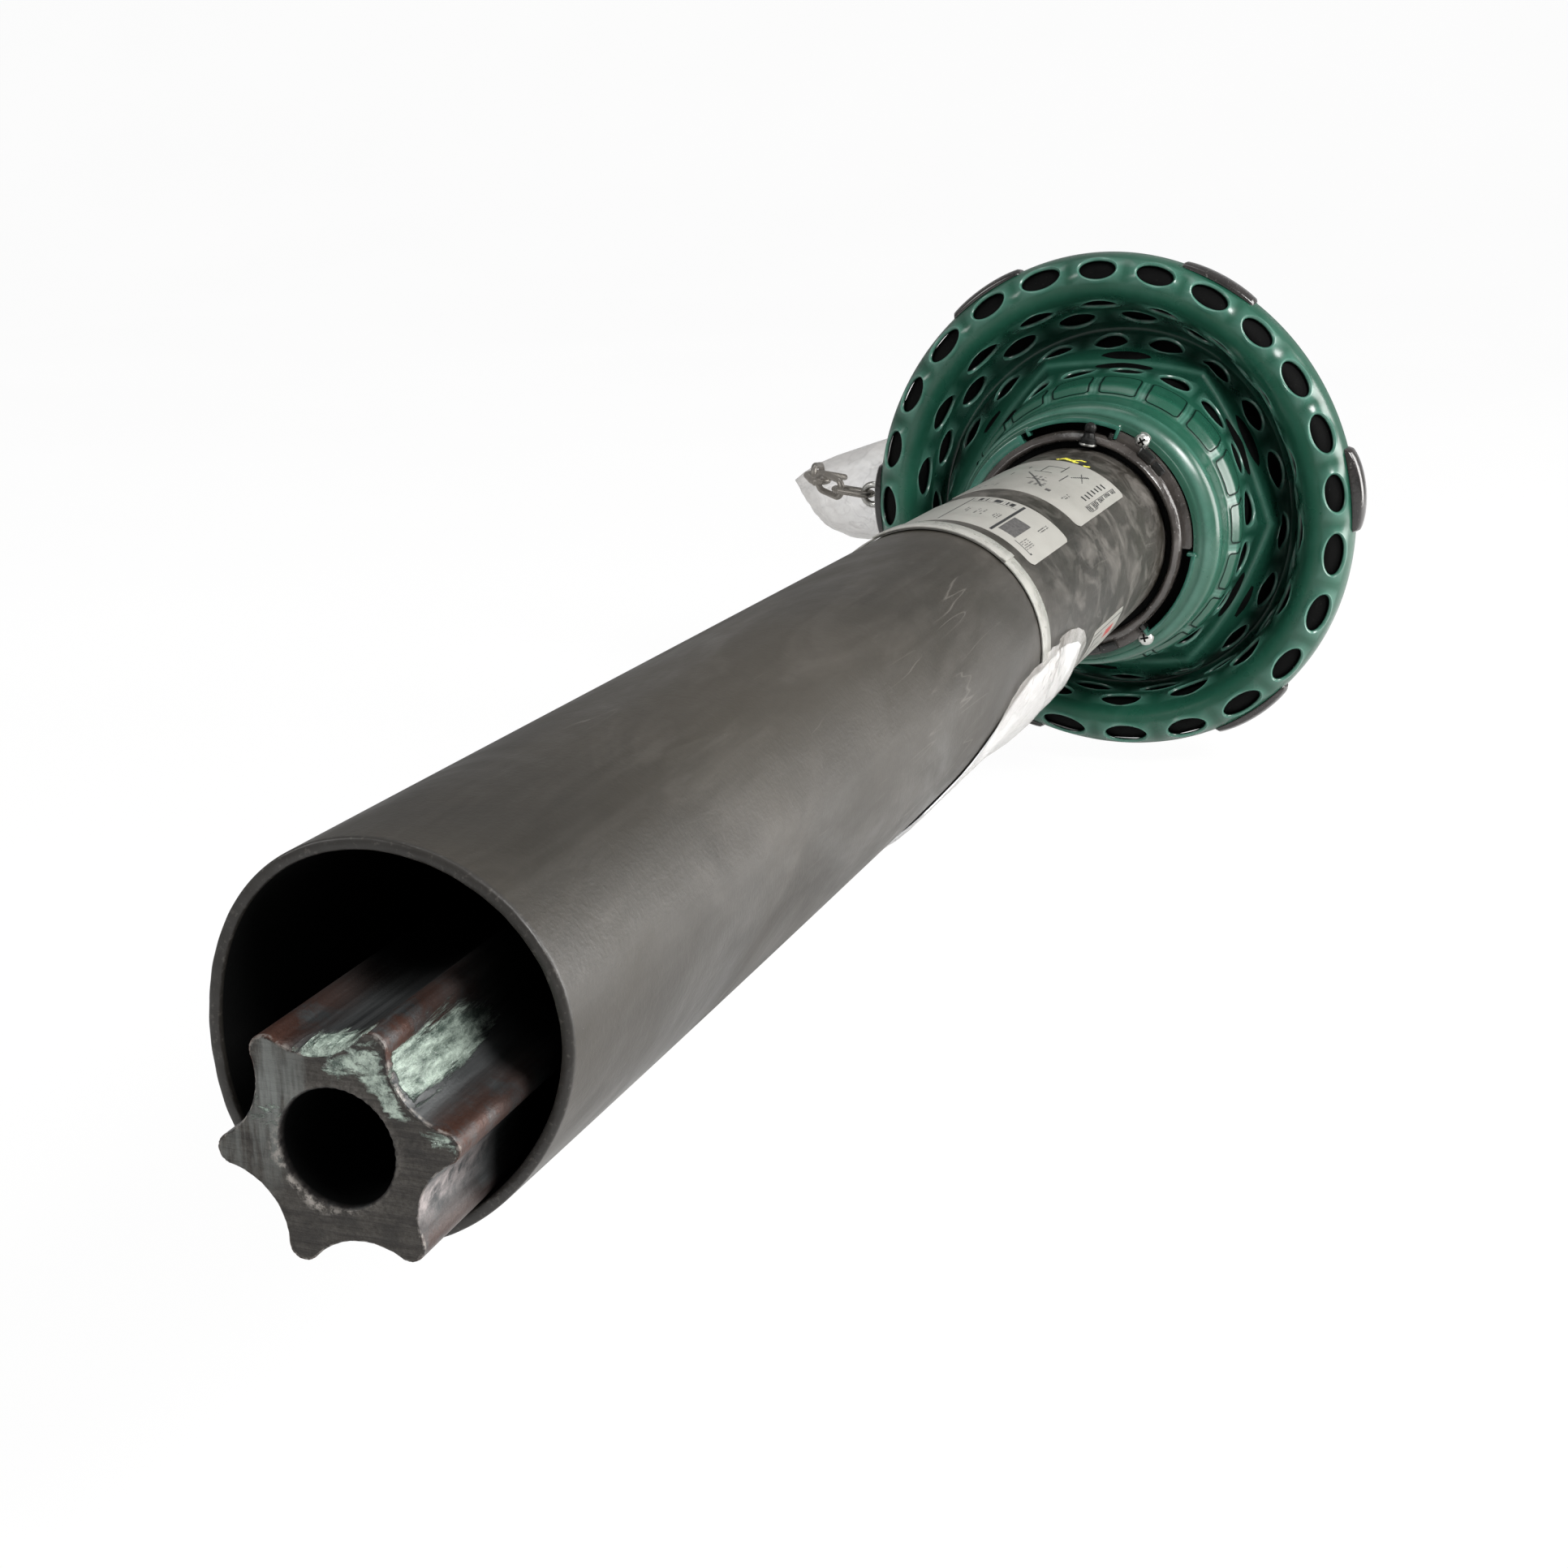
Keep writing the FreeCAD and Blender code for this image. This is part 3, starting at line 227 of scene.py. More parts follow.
# ------------------------------------------------------------- materials ----
class Shader:
    """A Principled material, textured in object space."""

    INPUTS = {"color": "Base Color", "rough": "Roughness", "metal": "Metallic",
              "normal": "Normal", "coat": "Coat Weight", "coat_rough": "Coat Roughness",
              "spec": "Specular IOR Level", "alpha": "Alpha", "sss": "Subsurface Weight"}

    def __init__(self, name):
        self.material = bpy.data.materials.new(name)
        self.material.use_nodes = True
        self.tree = self.material.node_tree
        self.tree.nodes.clear()
        self.output = self.node("OutputMaterial")
        self.bsdf = self.node("BsdfPrincipled")
        self.feed(self.output.inputs[0], self.bsdf.outputs[0])
        self.coords = self.node("TexCoord").outputs["Object"]

    def feed(self, socket, value):
        """Link a socket, or set a number or colour."""
        if isinstance(value, bpy.types.NodeSocket):
            self.tree.links.new(value, socket)
        elif isinstance(value, tuple) and len(value) == 3 and socket.type == "RGBA":
            socket.default_value = (*value, 1)
        else:
            socket.default_value = value

    def node(self, kind, **inputs):
        node = self.tree.nodes.new("ShaderNode" + kind)
        for name, value in inputs.items():
            self.feed(node.inputs[name], value)
        return node

    def map(self, scale=(1, 1, 1), loc=(0, 0, 0), rot=(0, 0, 0)):
        return self.node("Mapping", Vector=self.coords, Scale=scale, Location=loc,
                         Rotation=rot).outputs[0]

    def noise(self, scale, detail=4, rough=0.6, vec=None, warp=0.0):
        return self.node("TexNoise", Scale=scale, Detail=detail, Roughness=rough,
                         Distortion=warp,
                         Vector=self.coords if vec is None else vec).outputs[0]

    def dots(self, scale, size):
        """White dots of the given size at scattered cell centres."""
        cells = self.node("TexVoronoi", Scale=scale, Vector=self.coords)
        cells.feature = "F1"
        return self.ramp(cells.outputs[0], (0.0, 1.0), (size, 0.0))

    def ramp(self, fac, *stops):
        """Grey ramp through (position, value) stops."""
        node = self.node("ValToRGB")
        elements = node.color_ramp.elements
        while len(elements) < len(stops):
            elements.new(0.5)
        for element, (position, value) in zip(elements, stops):
            element.position = position
            element.color = (value, value, value, 1)
        self.feed(node.inputs[0], fac)
        return node.outputs[0]

    def rise(self, fac, start, end):
        """0 up to start, 1 from end on."""
        return self.ramp(fac, (start, 0.0), (end, 1.0))

    def peak(self, fac, half):
        """Thin line where fac passes 0.5."""
        return self.ramp(fac, (0.5 - half, 0.0), (0.5, 1.0), (0.5 + half, 0.0))

    def mix(self, fac, first, second):
        node = self.node("Mix")
        node.data_type = "RGBA"
        self.feed(node.inputs["Factor"], fac)
        self.feed(node.inputs[6], first)      # colour A
        self.feed(node.inputs[7], second)     # colour B
        return node.outputs[2]

    def math(self, operation, first, second, clamp=False):
        node = self.node("Math")
        node.operation = operation
        node.use_clamp = clamp
        self.feed(node.inputs[0], first)
        self.feed(node.inputs[1], second)
        return node.outputs[0]

    def times(self, first, second, clamp=False):
        return self.math("MULTIPLY", first, second, clamp)

    def over(self, base, colour, mask, amount):
        """Lay a colour over the base where the mask is white."""
        return self.mix(self.times(mask, amount), base, colour)

    def total(self, *terms):
        """Sum of (socket, weight) terms; a weight of None leaves the socket as it is."""
        weighed = [s if weight is None else self.times(s, weight) for s, weight in terms]
        result = weighed[0]
        for term in weighed[1:]:
            result = self.math("ADD", result, term)
        return result

    def attr(self, name):
        node = self.node("Attribute")
        node.attribute_name = name
        return node.outputs["Fac"]

    def bump(self, height, distance, strength):
        return self.node("Bump", Height=height, Distance=distance,
                         Strength=strength).outputs[0]

    def surface(self, **inputs):
        for name, value in inputs.items():
            self.feed(self.bsdf.inputs[self.INPUTS[name]], value)
        return self.material


def tube_material():
    """Dusty, scratched black plastic; attributes: inner wall, painted near black and dull as shade;
    sawn end; far part.
    """
    m = Shader("tube_plastic")
    big = m.noise(scale=9, detail=5, vec=m.map(scale=(0.5, 1, 1)))
    streak = m.noise(scale=260, vec=m.map(scale=(0.06, 1, 1)))
    fine = m.noise(scale=900, detail=3)
    inner = m.attr("inner")
    base = m.mix(m.rise(big, 0.36, 0.62), (0.0125, 0.0106, 0.0074), (0.036, 0.0305, 0.0222))
    base = m.over(base, (0.058, 0.052, 0.044), m.rise(streak, 0.45, 0.75), amount=0.35)
    base = m.over(base, (0.014, 0.0125, 0.010), m.rise(fine, 0.4, 0.75), amount=0.30)
    # dusty smears that run slantwise round the tube
    smear = m.noise(scale=34, detail=5, rough=0.65, warp=1.2,
                    vec=m.map(scale=(0.35, 1, 1), rot=(0, 0.5, 0.6)))
    base = m.over(base, (0.12, 0.108, 0.095), m.rise(smear, 0.52, 0.74), amount=0.30)
    # mottling that gets stronger toward the cone
    mottle = m.noise(scale=75, detail=5, rough=0.65, warp=0.8,
                     vec=m.map(scale=(0.7, 1, 1), rot=(0.3, 0.4, 0.2)))
    base = m.over(base, (0.19, 0.175, 0.158),
                  m.times(m.rise(mottle, 0.46, 0.66), m.attr("far")), amount=0.55)
    # pale scratches along the tube, then dark ones round it
    lines = m.noise(scale=120, detail=2, rough=0.4,
                    vec=m.map(scale=(0.05, 1.0, 1.0), rot=(0, 0.24, 0.35)))
    patch = m.rise(m.noise(scale=22, detail=2, rough=0.5), 0.56, 0.62)
    base = m.over(base, (0.20, 0.185, 0.165), m.times(m.peak(lines, 0.005), patch), amount=0.38)
    lines = m.noise(scale=160, detail=2, rough=0.4,
                    vec=m.map(scale=(1.0, 0.07, 0.07), rot=(0, 0.1, 0.15)))
    patch = m.rise(m.noise(scale=30, detail=2, rough=0.5, vec=m.map(loc=(3, 1, 2))), 0.60, 0.66)
    base = m.over(base, (0.018, 0.016, 0.014), m.times(m.peak(lines, 0.003), patch), amount=0.4)
    # pale specks
    patch = m.rise(m.noise(scale=70, detail=2, rough=0.5), 0.60, 0.66)
    base = m.over(base, (0.6, 0.58, 0.54), m.times(m.dots(scale=620, size=0.045), patch),
                  amount=0.8)
    sawn = m.rise(m.noise(scale=800, rough=0.7), 0.56, 0.70)
    base = m.over(base, m.mix(sawn, (0.020, 0.018, 0.016), (0.085, 0.078, 0.070)),
                  m.attr("endr"), amount=0.8)
    # painted shade: the inner wall is painted near black, with a weak, dull shine
    base = m.mix(inner, base, (0.0022, 0.0024, 0.0024))
    blotch = m.noise(scale=26, rough=0.62, warp=0.8,
                     vec=m.map(scale=(0.4, 1, 1), rot=(0, 0.5, 0.6)))
    height = m.total((streak, 0.35), (fine, 0.5),
                     (m.noise(scale=60, detail=3, rough=0.5), 1.2), (mottle, 1.5))
    return m.surface(
        color=base, rough=m.mix(inner, m.ramp(blotch, (0.32, 0.30), (0.70, 0.58)),
                                (0.75, 0.75, 0.75)),
        normal=m.bump(height, distance=0.00016, strength=0.8),
        spec=m.mix(inner, (0.54, 0.54, 0.54), (0.12, 0.12, 0.12)))


def cone_material():
    """Green plastic; attributes: pale rims, partly worn and partly painted highlight; painted shade in
    the sunken folds and behind the wall.
    """
    m = Shader("green_plastic")
    painted_shade = m.attr("painted_shade")
    broad = m.noise(scale=18, rough=0.55)
    fine = m.noise(scale=240, detail=3)
    base = m.mix(m.rise(broad, 0.3, 0.7), (0.0078, 0.060, 0.0360), (0.0145, 0.094, 0.0575))
    base = m.over(base, (0.028, 0.12, 0.085), m.rise(fine, 0.5, 0.8), amount=0.22)
    # painted shade: darker green in the sunken folds
    base = m.mix(m.times(painted_shade, 0.80, clamp=True), base, (0.0052, 0.031, 0.0205))
    # painted shade: values past 1 mark the back of the wall and the vent cut edges, painted near black
    behind = m.times(m.math("SUBTRACT", painted_shade, 1.0, clamp=True), 1.7, clamp=True)
    base = m.mix(behind, base, (0.001, 0.004, 0.003))
    dust = m.rise(m.noise(scale=55, detail=6, rough=0.7, warp=0.5), 0.52, 0.72)
    base = m.over(base, (0.06, 0.16, 0.125), dust, amount=0.18)
    # pale rims: partly worn edges, partly painted highlight on the vent lips, the ridge, the pad
    # separators and the neck
    edge = m.ramp(m.noise(scale=90), (0.3, 0.45), (0.7, 1.0))
    base = m.over(base, (0.13, 0.31, 0.245), m.times(m.attr("rim"), edge), amount=0.8)
    height = m.total((fine, 0.3), (m.noise(scale=40, detail=3, rough=0.5), 1.0),
                     (m.noise(scale=14, detail=3, rough=0.5), 2.2))
    return m.surface(color=base, rough=m.ramp(m.noise(scale=60, detail=3), (0.3, 0.24), (0.8, 0.40)),
                     normal=m.bump(height, distance=0.00028, strength=0.7), spec=0.5,
                     coat=0.25, coat_rough=0.2)


def gloss_material(name, dark, pale, rough=(0.16, 0.34), bump=0.00008,
                   speck=(0.35, 0.34, 0.32), specks=0.35, coat=0.3, spec=0.5):
    """Moulded plastic or rubber with dust specks."""
    m = Shader(name)
    broad = m.noise(scale=55)
    fine = m.noise(scale=420, detail=3)
    base = m.mix(m.rise(broad, 0.35, 0.7), dark, pale)
    dust = m.rise(m.noise(scale=700, detail=2, rough=0.7), 0.66, 0.74)
    return m.surface(
        color=m.over(base, speck, dust, amount=specks),
        rough=m.ramp(broad, (0.3, rough[0]), (0.75, rough[1])),
        normal=m.bump(m.total((fine, None), (broad, 2.0)), distance=bump, strength=0.7),
        coat=coat, coat_rough=0.15, spec=spec)


def steel_material(name, dark, pale, rough=(0.25, 0.45), brushed=None, bump=0.00006, metal=1.0,
                   rust=0.0):
    m = Shader(name)
    grain = m.noise(scale=300, vec=m.map(scale=brushed) if brushed else None)
    base = m.mix(m.rise(m.noise(scale=40), 0.3, 0.7), dark, pale)
    if rust > 0:
        patches = m.rise(m.noise(scale=70, detail=6, rough=0.7), 0.52, 0.62)
        base = m.over(base, (0.075, 0.032, 0.018), patches, amount=rust)
    return m.surface(color=base, metal=metal,
                     rough=m.ramp(grain, (0.3, rough[0]), (0.7, rough[1])),
                     normal=m.bump(grain, distance=bump, strength=0.6))


def star_material():
    """Dark drawn steel: rust on the lobes, pale grease in the hollows near the end, painted shade
    further inside the tube.
    """
    m = Shader("profile_steel")
    face = m.attr("face")
    grease = m.attr("grease")
    far = m.attr("far")
    drawn = m.noise(scale=420, detail=5, rough=0.65, vec=m.map(scale=(0.05, 1, 1)))
    patches = m.noise(scale=90, detail=6, rough=0.7)
    fine = m.noise(scale=1500, rough=0.7)
    base = m.mix(m.rise(drawn, 0.3, 0.7), (0.030, 0.033, 0.034), (0.105, 0.110, 0.112))
    base = m.over(base, m.mix(fine, (0.028, 0.011, 0.006), (0.105, 0.038, 0.022)),
                  m.times(m.rise(patches, 0.36, 0.50), m.attr("tip")), amount=0.95)
    smudge = m.rise(m.noise(scale=220, detail=5, rough=0.7), 0.35, 0.6)
    base = m.over(base, (0.60, 0.53, 0.52), m.attr("pink"), amount=smudge)
    # sawn face: mottled grey-brown, slanting saw marks, dark stains
    saw = m.noise(scale=900, detail=3,
                  vec=m.map(scale=(1, 0.06, 1), rot=(math.radians(40), 0, 0)))
    wipe = m.noise(scale=240, rough=0.65,
                   vec=m.map(scale=(1, 1, 0.12), rot=(math.radians(-20), 0, 0)))
    stain = m.rise(m.noise(scale=130), 0.50, 0.60)
    sawn = m.mix(m.rise(fine, 0.3, 0.7), (0.034, 0.030, 0.026), (0.082, 0.076, 0.068))
    sawn = m.over(sawn, (0.024, 0.021, 0.020), m.ramp(saw, (0.42, 1.0), (0.5, 0.0)), amount=0.5)
    sawn = m.over(sawn, (0.022, 0.021, 0.020), stain, amount=0.5)
    sawn = m.over(sawn, (0.22, 0.235, 0.225),
                  m.times(m.rise(wipe, 0.44, 0.60), m.attr("left")), amount=0.85)
    base = m.mix(face, base, sawn)
    burr = m.rise(m.noise(scale=600, rough=0.7), 0.45, 0.58)
    base = m.over(base, (0.40, 0.37, 0.34), m.times(m.attr("edge"), burr), amount=0.9)
    # grease, with pale dots in it as painted glints
    tone = m.noise(scale=380, detail=5, rough=0.75, vec=m.map(scale=(0.30, 1, 1)))
    colour = m.mix(m.rise(tone, 0.38, 0.62), (0.070, 0.100, 0.084), (0.50, 0.60, 0.52))
    colour = m.over(colour, (0.80, 0.86, 0.80), m.dots(scale=900, size=0.10),
                    amount=m.rise(m.noise(scale=150, detail=2, rough=0.5), 0.48, 0.56))
    on_side = m.noise(scale=520, detail=5, rough=0.72, warp=0.3,
                      vec=m.map(scale=(0.10, 1, 1), rot=(0, 0.12, 0.1)))
    on_face = m.noise(scale=330, detail=5, rough=0.72, warp=0.6,
                      vec=m.map(scale=(1, 0.55, 1.3), rot=(math.radians(-38), 0, 0)))
    spread = m.total((grease, 0.55), (m.mix(face, on_side, on_face), 0.85))
    greasy = m.times(m.rise(spread, 0.69, 0.78), m.rise(grease, 0.02, 0.12), clamp=True)
    base = m.mix(greasy, base, colour)
    # painted shade: past the first few mm inside the tube, and in the bore, the steel is painted near
    # black, dull and almost shineless
    base = m.mix(far, base, (0.0022, 0.0024, 0.0024))
    bare = m.math("SUBTRACT", 1.0, m.math("MAXIMUM", greasy, far))
    rough = m.mix(greasy, m.ramp(drawn, (0.3, 0.30), (0.75, 0.52)), (0.20, 0.20, 0.20))
    height = m.total((fine, 0.4), (m.times(saw, face), 1.0), (patches, 1.4),
                     (m.times(m.noise(scale=420, rough=0.7), greasy), 5.0))
    return m.surface(color=base, metal=m.times(bare, 0.5),
                     rough=m.mix(far, rough, (0.8, 0.8, 0.8)),
                     normal=m.bump(height, distance=0.00026, strength=0.85),
                     spec=m.mix(far, (0.5, 0.5, 0.5), (0.05, 0.05, 0.05)))


def paper_material(name, dark, pale, rough, stain, amount, coat=0.2):
    m = Shader(name)
    broad = m.noise(scale=70, detail=5)
    fine = m.noise(scale=1200, detail=3)
    stains = m.rise(m.noise(scale=120, detail=5, rough=0.7), 0.56, 0.72)
    height = m.total((fine, None), (broad, 3.0))
    return m.surface(color=m.over(m.mix(broad, dark, pale), stain, stains, amount=amount),
                     rough=m.ramp(broad, (0.3, rough[0]), (0.7, rough[1])),
                     normal=m.bump(height, distance=0.00005, strength=0.7), coat=coat)


def strap_material():
    m = Shader("strap_plastic")
    ribs = m.noise(scale=1600, detail=2, rough=0.5, vec=m.map(scale=(1, 0.05, 0.05)))
    broad = m.noise(scale=110)
    base = m.mix(broad, (0.27, 0.265, 0.24), (0.52, 0.515, 0.48))
    base = m.over(base, (0.17, 0.165, 0.145), m.rise(m.noise(scale=260), 0.5, 0.75), amount=0.5)
    m.bsdf.inputs["Subsurface Radius"].default_value = (0.002, 0.002, 0.0015)
    height = m.total((ribs, None), (broad, 3.0))
    return m.surface(color=base, rough=m.ramp(broad, (0.3, 0.22), (0.8, 0.42)), coat=0.3,
                     sss=0.15, normal=m.bump(height, distance=0.0002, strength=0.7))


def film_material(name, tint, highlight, alpha, rough, bump):
    """Thin clear film; alpha is its value seen square on and its gain at grazing angles."""
    m = Shader(name)
    facing = m.node("LayerWeight", Blend=0.35).outputs["Facing"]
    folds = m.noise(scale=42, detail=3, rough=0.45, vec=m.map(rot=(0.3, 0.2, 0.9)), warp=1.1)
    cover = m.math("ADD", m.times(facing, alpha[1]), alpha[0])
    cover = m.math("ADD", cover, m.times(m.peak(folds, 0.015), 0.12), clamp=True)
    return m.surface(color=m.mix(m.rise(folds, 0.42, 0.62), tint, highlight), alpha=cover,
                     rough=m.ramp(folds, (0.3, rough[0]), (0.8, rough[1])),
                     normal=m.bump(folds, distance=bump, strength=0.6), spec=0.6)


def ink_material(name, colour):
    m = Shader(name)
    grain = m.noise(scale=900, detail=3)
    faded = tuple(min(1, c * 2.2 + 0.02) for c in colour)
    return m.surface(color=m.mix(m.rise(grain, 0.4, 0.8), colour, faded), rough=0.5,
                     normal=m.bump(grain, distance=0.00002, strength=0.5))


MAT = {
    "tube": tube_material(), "cone": cone_material(), "star": star_material(),
    "strap": strap_material(),
    # near black and almost shineless: painted shade for the liner, the collar's groove and windows,
    # and the screw recesses
    "shade_black": gloss_material("shade_black_dull", (0.0022, 0.0024, 0.0024), (0.0045, 0.0045, 0.0045),
                           rough=(0.5, 0.75), bump=0.0001, coat=0.0, specks=0.03, spec=0.06),
    "worn": gloss_material("worn_ring", (0.022, 0.019, 0.017), (0.085, 0.074, 0.068),
                           rough=(0.10, 0.26), bump=0.0003, speck=(0.45, 0.42, 0.40),
                           specks=0.5, coat=0.4),
    # near-black green for the strips round the neck pads: painted shade for their grooves
    "groove_shade": gloss_material("groove_shade_green", (0.0014, 0.009, 0.0062), (0.0026, 0.014, 0.010),
                                rough=(0.4, 0.6), bump=0.00005, coat=0.0, specks=0.0, spec=0.1),
    "rail": gloss_material("rail_green", (0.012, 0.085, 0.058), (0.035, 0.16, 0.115),
                           rough=(0.14, 0.3), bump=0.0001, speck=(0.25, 0.45, 0.38),
                           specks=0.2, coat=0.5),
    "black": gloss_material("black_plastic", (0.006, 0.0065, 0.0065), (0.014, 0.014, 0.013)),
    "lug": gloss_material("lug_plastic", (0.012, 0.011, 0.0105), (0.034, 0.029, 0.028),
                          rough=(0.15, 0.3), bump=0.00016, coat=0.6),
    "cap": gloss_material("nipple_cap", (0.004, 0.004, 0.004), (0.010, 0.010, 0.0095),
                          rough=(0.30, 0.5), bump=0.00006, coat=0.0, specks=0.05, spec=0.25),
    "nylon": paper_material("nylon", (0.60, 0.59, 0.54), (0.70, 0.69, 0.65), rough=(0.35, 0.5),
                            stain=(0.4, 0.38, 0.33), amount=0.2),
    "label": paper_material("label_paper", (0.33, 0.32, 0.293), (0.43, 0.42, 0.39),
                            rough=(0.28, 0.42), stain=(0.45, 0.43, 0.38), amount=0.3),
    "sheet": paper_material("sheet_paper", (0.68, 0.69, 0.71), (0.78, 0.79, 0.81),
                            rough=(0.4, 0.6), stain=(0.62, 0.62, 0.64), amount=0.15, coat=0.0),
    "film": film_material("clear_film", (0.46, 0.43, 0.40), (0.80, 0.79, 0.77),
                          alpha=(0.09, 0.34), rough=(0.10, 0.26), bump=0.0002),
    "bag": film_material("bag_film", (0.27, 0.238, 0.203), (0.47, 0.43, 0.385),
                         alpha=(0.20, 0.36), rough=(0.12, 0.3), bump=0.0005),
    "zinc": steel_material("zinc", (0.55, 0.55, 0.52), (0.78, 0.78, 0.76),
                           rough=(0.2, 0.42), bump=0.00005),
    "chain": steel_material("chain_steel", (0.16, 0.15, 0.13), (0.42, 0.40, 0.37),
                            rough=(0.22, 0.45), bump=0.0001),
    "dark": steel_material("nipple_steel", (0.02, 0.02, 0.02), (0.06, 0.06, 0.06),
                           rough=(0.2, 0.4), bump=0.00005, metal=0.6),
    "forged": steel_material("forged_steel", (0.030, 0.030, 0.032), (0.085, 0.080, 0.078),
                             rough=(0.42, 0.65), bump=0.0005, metal=0.35, rust=0.3),
    "bearing": steel_material("bearing_steel", (0.45, 0.45, 0.46), (0.62, 0.62, 0.63),
                              rough=(0.12, 0.3), brushed=(1, 1, 1), bump=0.00002),
    "spring": steel_material("spring_steel", (0.32, 0.32, 0.33), (0.46, 0.45, 0.45),
                             rough=(0.2, 0.4), bump=0.00003),
    "rubber": gloss_material("seal_rubber", (0.012, 0.012, 0.012), (0.03, 0.03, 0.03),
                             rough=(0.5, 0.75), bump=0.0001, coat=0.0),
    "ink": ink_material("black_ink", (0.010, 0.010, 0.011)),
    "grey_ink": ink_material("grey_ink", (0.055, 0.053, 0.052)),
    "red_ink": ink_material("red_ink", (0.26, 0.016, 0.012)),
    "chalk": ink_material("yellow_chalk", (0.62, 0.55, 0.05)),
}

# ------------------------------------------------------------ CAD pieces ----
CAD_MATERIALS = {
    "bearing_ring": "nylon", "collar_screws": "zinc", "ring_grease_nipple": "dark",
    "cone_liner": "lug", "chain_anchor": "zinc", "inner_yoke": "forged", "roll_pin": "spring",
    "inner_bearing_cups": "bearing", "inner_needles": "bearing", "inner_snap_rings": "spring",
    "outer_bearing_cups": "bearing", "outer_needles": "bearing", "outer_snap_rings": "spring",
    "cross_spider": "bearing", "cross_seals": "rubber", "cross_grease_nipple": "zinc",
    "outer_yoke": "forged", "lock_pin": "zinc", "pin_keeper": "spring", "lock_spring": "spring",
    "guard_tube": "tube", "tube_collar": "black", "guard_cone": "cone",
    "data_label": "label", "barcode_label": "label", "plain_sticker": "label",
    "packing_strap": "strap", "document_pouch": "film", "manual_sheet": "sheet",
    "safety_chain": "chain", "chain_bag": "bag", "profile_tube": "star",
}
for piece, key in CAD_MATERIALS.items():
    mesh = PIECES[piece].data
    mesh.materials.clear()
    mesh.materials.append(MAT[key])


def build_lock_spring():
    """The lock pin's spring as its own piece, riding with the splined end."""
    cad = PIECES["lock_spring"]
    spring = bpy.data.objects.new("spring_coil", cad.data.copy())
    scene.collection.objects.link(spring)
    spring.matrix_world = cad.matrix_world.copy()
    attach(spring, "splined_end")
    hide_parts("lock_spring")
    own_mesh(spring)


build_lock_spring()

# ------------------------------------------------------------ guard tube ----
TUBE_WALL = 2.5


def crush(station, deg):
    """Radius change of the slightly crushed free end, dying away along the tube."""
    a = np.radians(deg)
    change = (0.47 + 0.37 * np.cos(a) - 1.23 * np.sin(a) - 1.15 * np.cos(2 * a)
              - 1.31 * np.sin(2 * a) - 0.8 * np.cos(3 * a) + 0.59 * np.sin(3 * a))
    return change * np.exp(-np.clip(station, 0, None) / 95.0)


def build_tube():
    columns = 256
    stations = np.concatenate([[0.0, 0.25, 0.7, 1.4, 3, 6, 10], np.linspace(16, 574, 80), [590.0]])
    outer = np.zeros(len(stations))
    inner = np.full(len(stations), TUBE_WALL)
    outer[:2] += (0.45, 0.1)                # eased corners of the sawn end
    inner[:2] -= (0.4, 0.08)
    station = np.concatenate([stations, stations[::-1]])
    depth = np.concatenate([outer, inner[::-1]])
    sections = []
    for deg in turn(columns):
        # the end is not quite square and has small nicks
        cut = (0.35 * math.sin(math.radians(deg * 2 + 40)) + 0.12 * math.sin(math.radians(deg * 17))
               + 0.1 * math.sin(math.radians(deg * 41 + 9)))
        cut_station = station + np.where(station < 0.5, cut, 0.0) * np.exp(-station) * 0.6
        sections.append(polar(cut_station, TUBE_R - depth + crush(station, deg), deg))
    shell = Shell()
    shell.sweep(sections, ring=True)
    # the inner wall is marked so that its colour is painted near black as shade
    shell.make("tube_skin", MAT["tube"], replaces="guard_tube", auto=50, attrs={
        "inner": np.tile((depth > 1.5) & (station > 0.9), columns),
        "endr": np.tile(station < 0.9, columns),
        "far": np.tile(np.clip((station - 330.0) / 120.0, 0, 1), columns)})


build_tube()

# ------------------------------------------------------------- star tube ----
STAR_X, STAR_LENGTH = -785.0, 636.0         # row X of the sawn end, in mm
FIRST_LOBE = 51.6                           # degrees
LOBE_R, HOLLOW_R = 24.0, 17.4
LOBE_ROUND, HOLLOW_ROUND = 3.0, 13.46
ARC_STEPS = 20
BORE_R = 11.2


def arc_points(centre, start_at, end_at, radius, way):
    """Arc from facing one place to facing another; way is +1 or -1."""
    start, end = (math.atan2(*(place - centre)[::-1]) for place in (start_at, end_at))
    while (end - start) * way < 0:
        end += 2 * math.pi * way
    angles = np.linspace(start, end, ARC_STEPS, endpoint=False)
    return centre + radius * np.stack([np.cos(angles), np.sin(angles)], -1)


def star_outline():
    def place(radius, deg):
        return radius * np.array([math.cos(math.radians(deg)), math.sin(math.radians(deg))])

    lobe, hollow = LOBE_R - LOBE_ROUND, HOLLOW_R + HOLLOW_ROUND
    arcs = []
    for k in range(6):
        deg = FIRST_LOBE + 60 * k
        tip, after = place(lobe, deg), place(hollow, deg + 30)
        arcs.append(arc_points(tip, place(hollow, deg - 30), after, LOBE_ROUND, 1))
        arcs.append(arc_points(after, tip, place(lobe, deg + 60), HOLLOW_ROUND, -1))
    return np.concatenate(arcs)


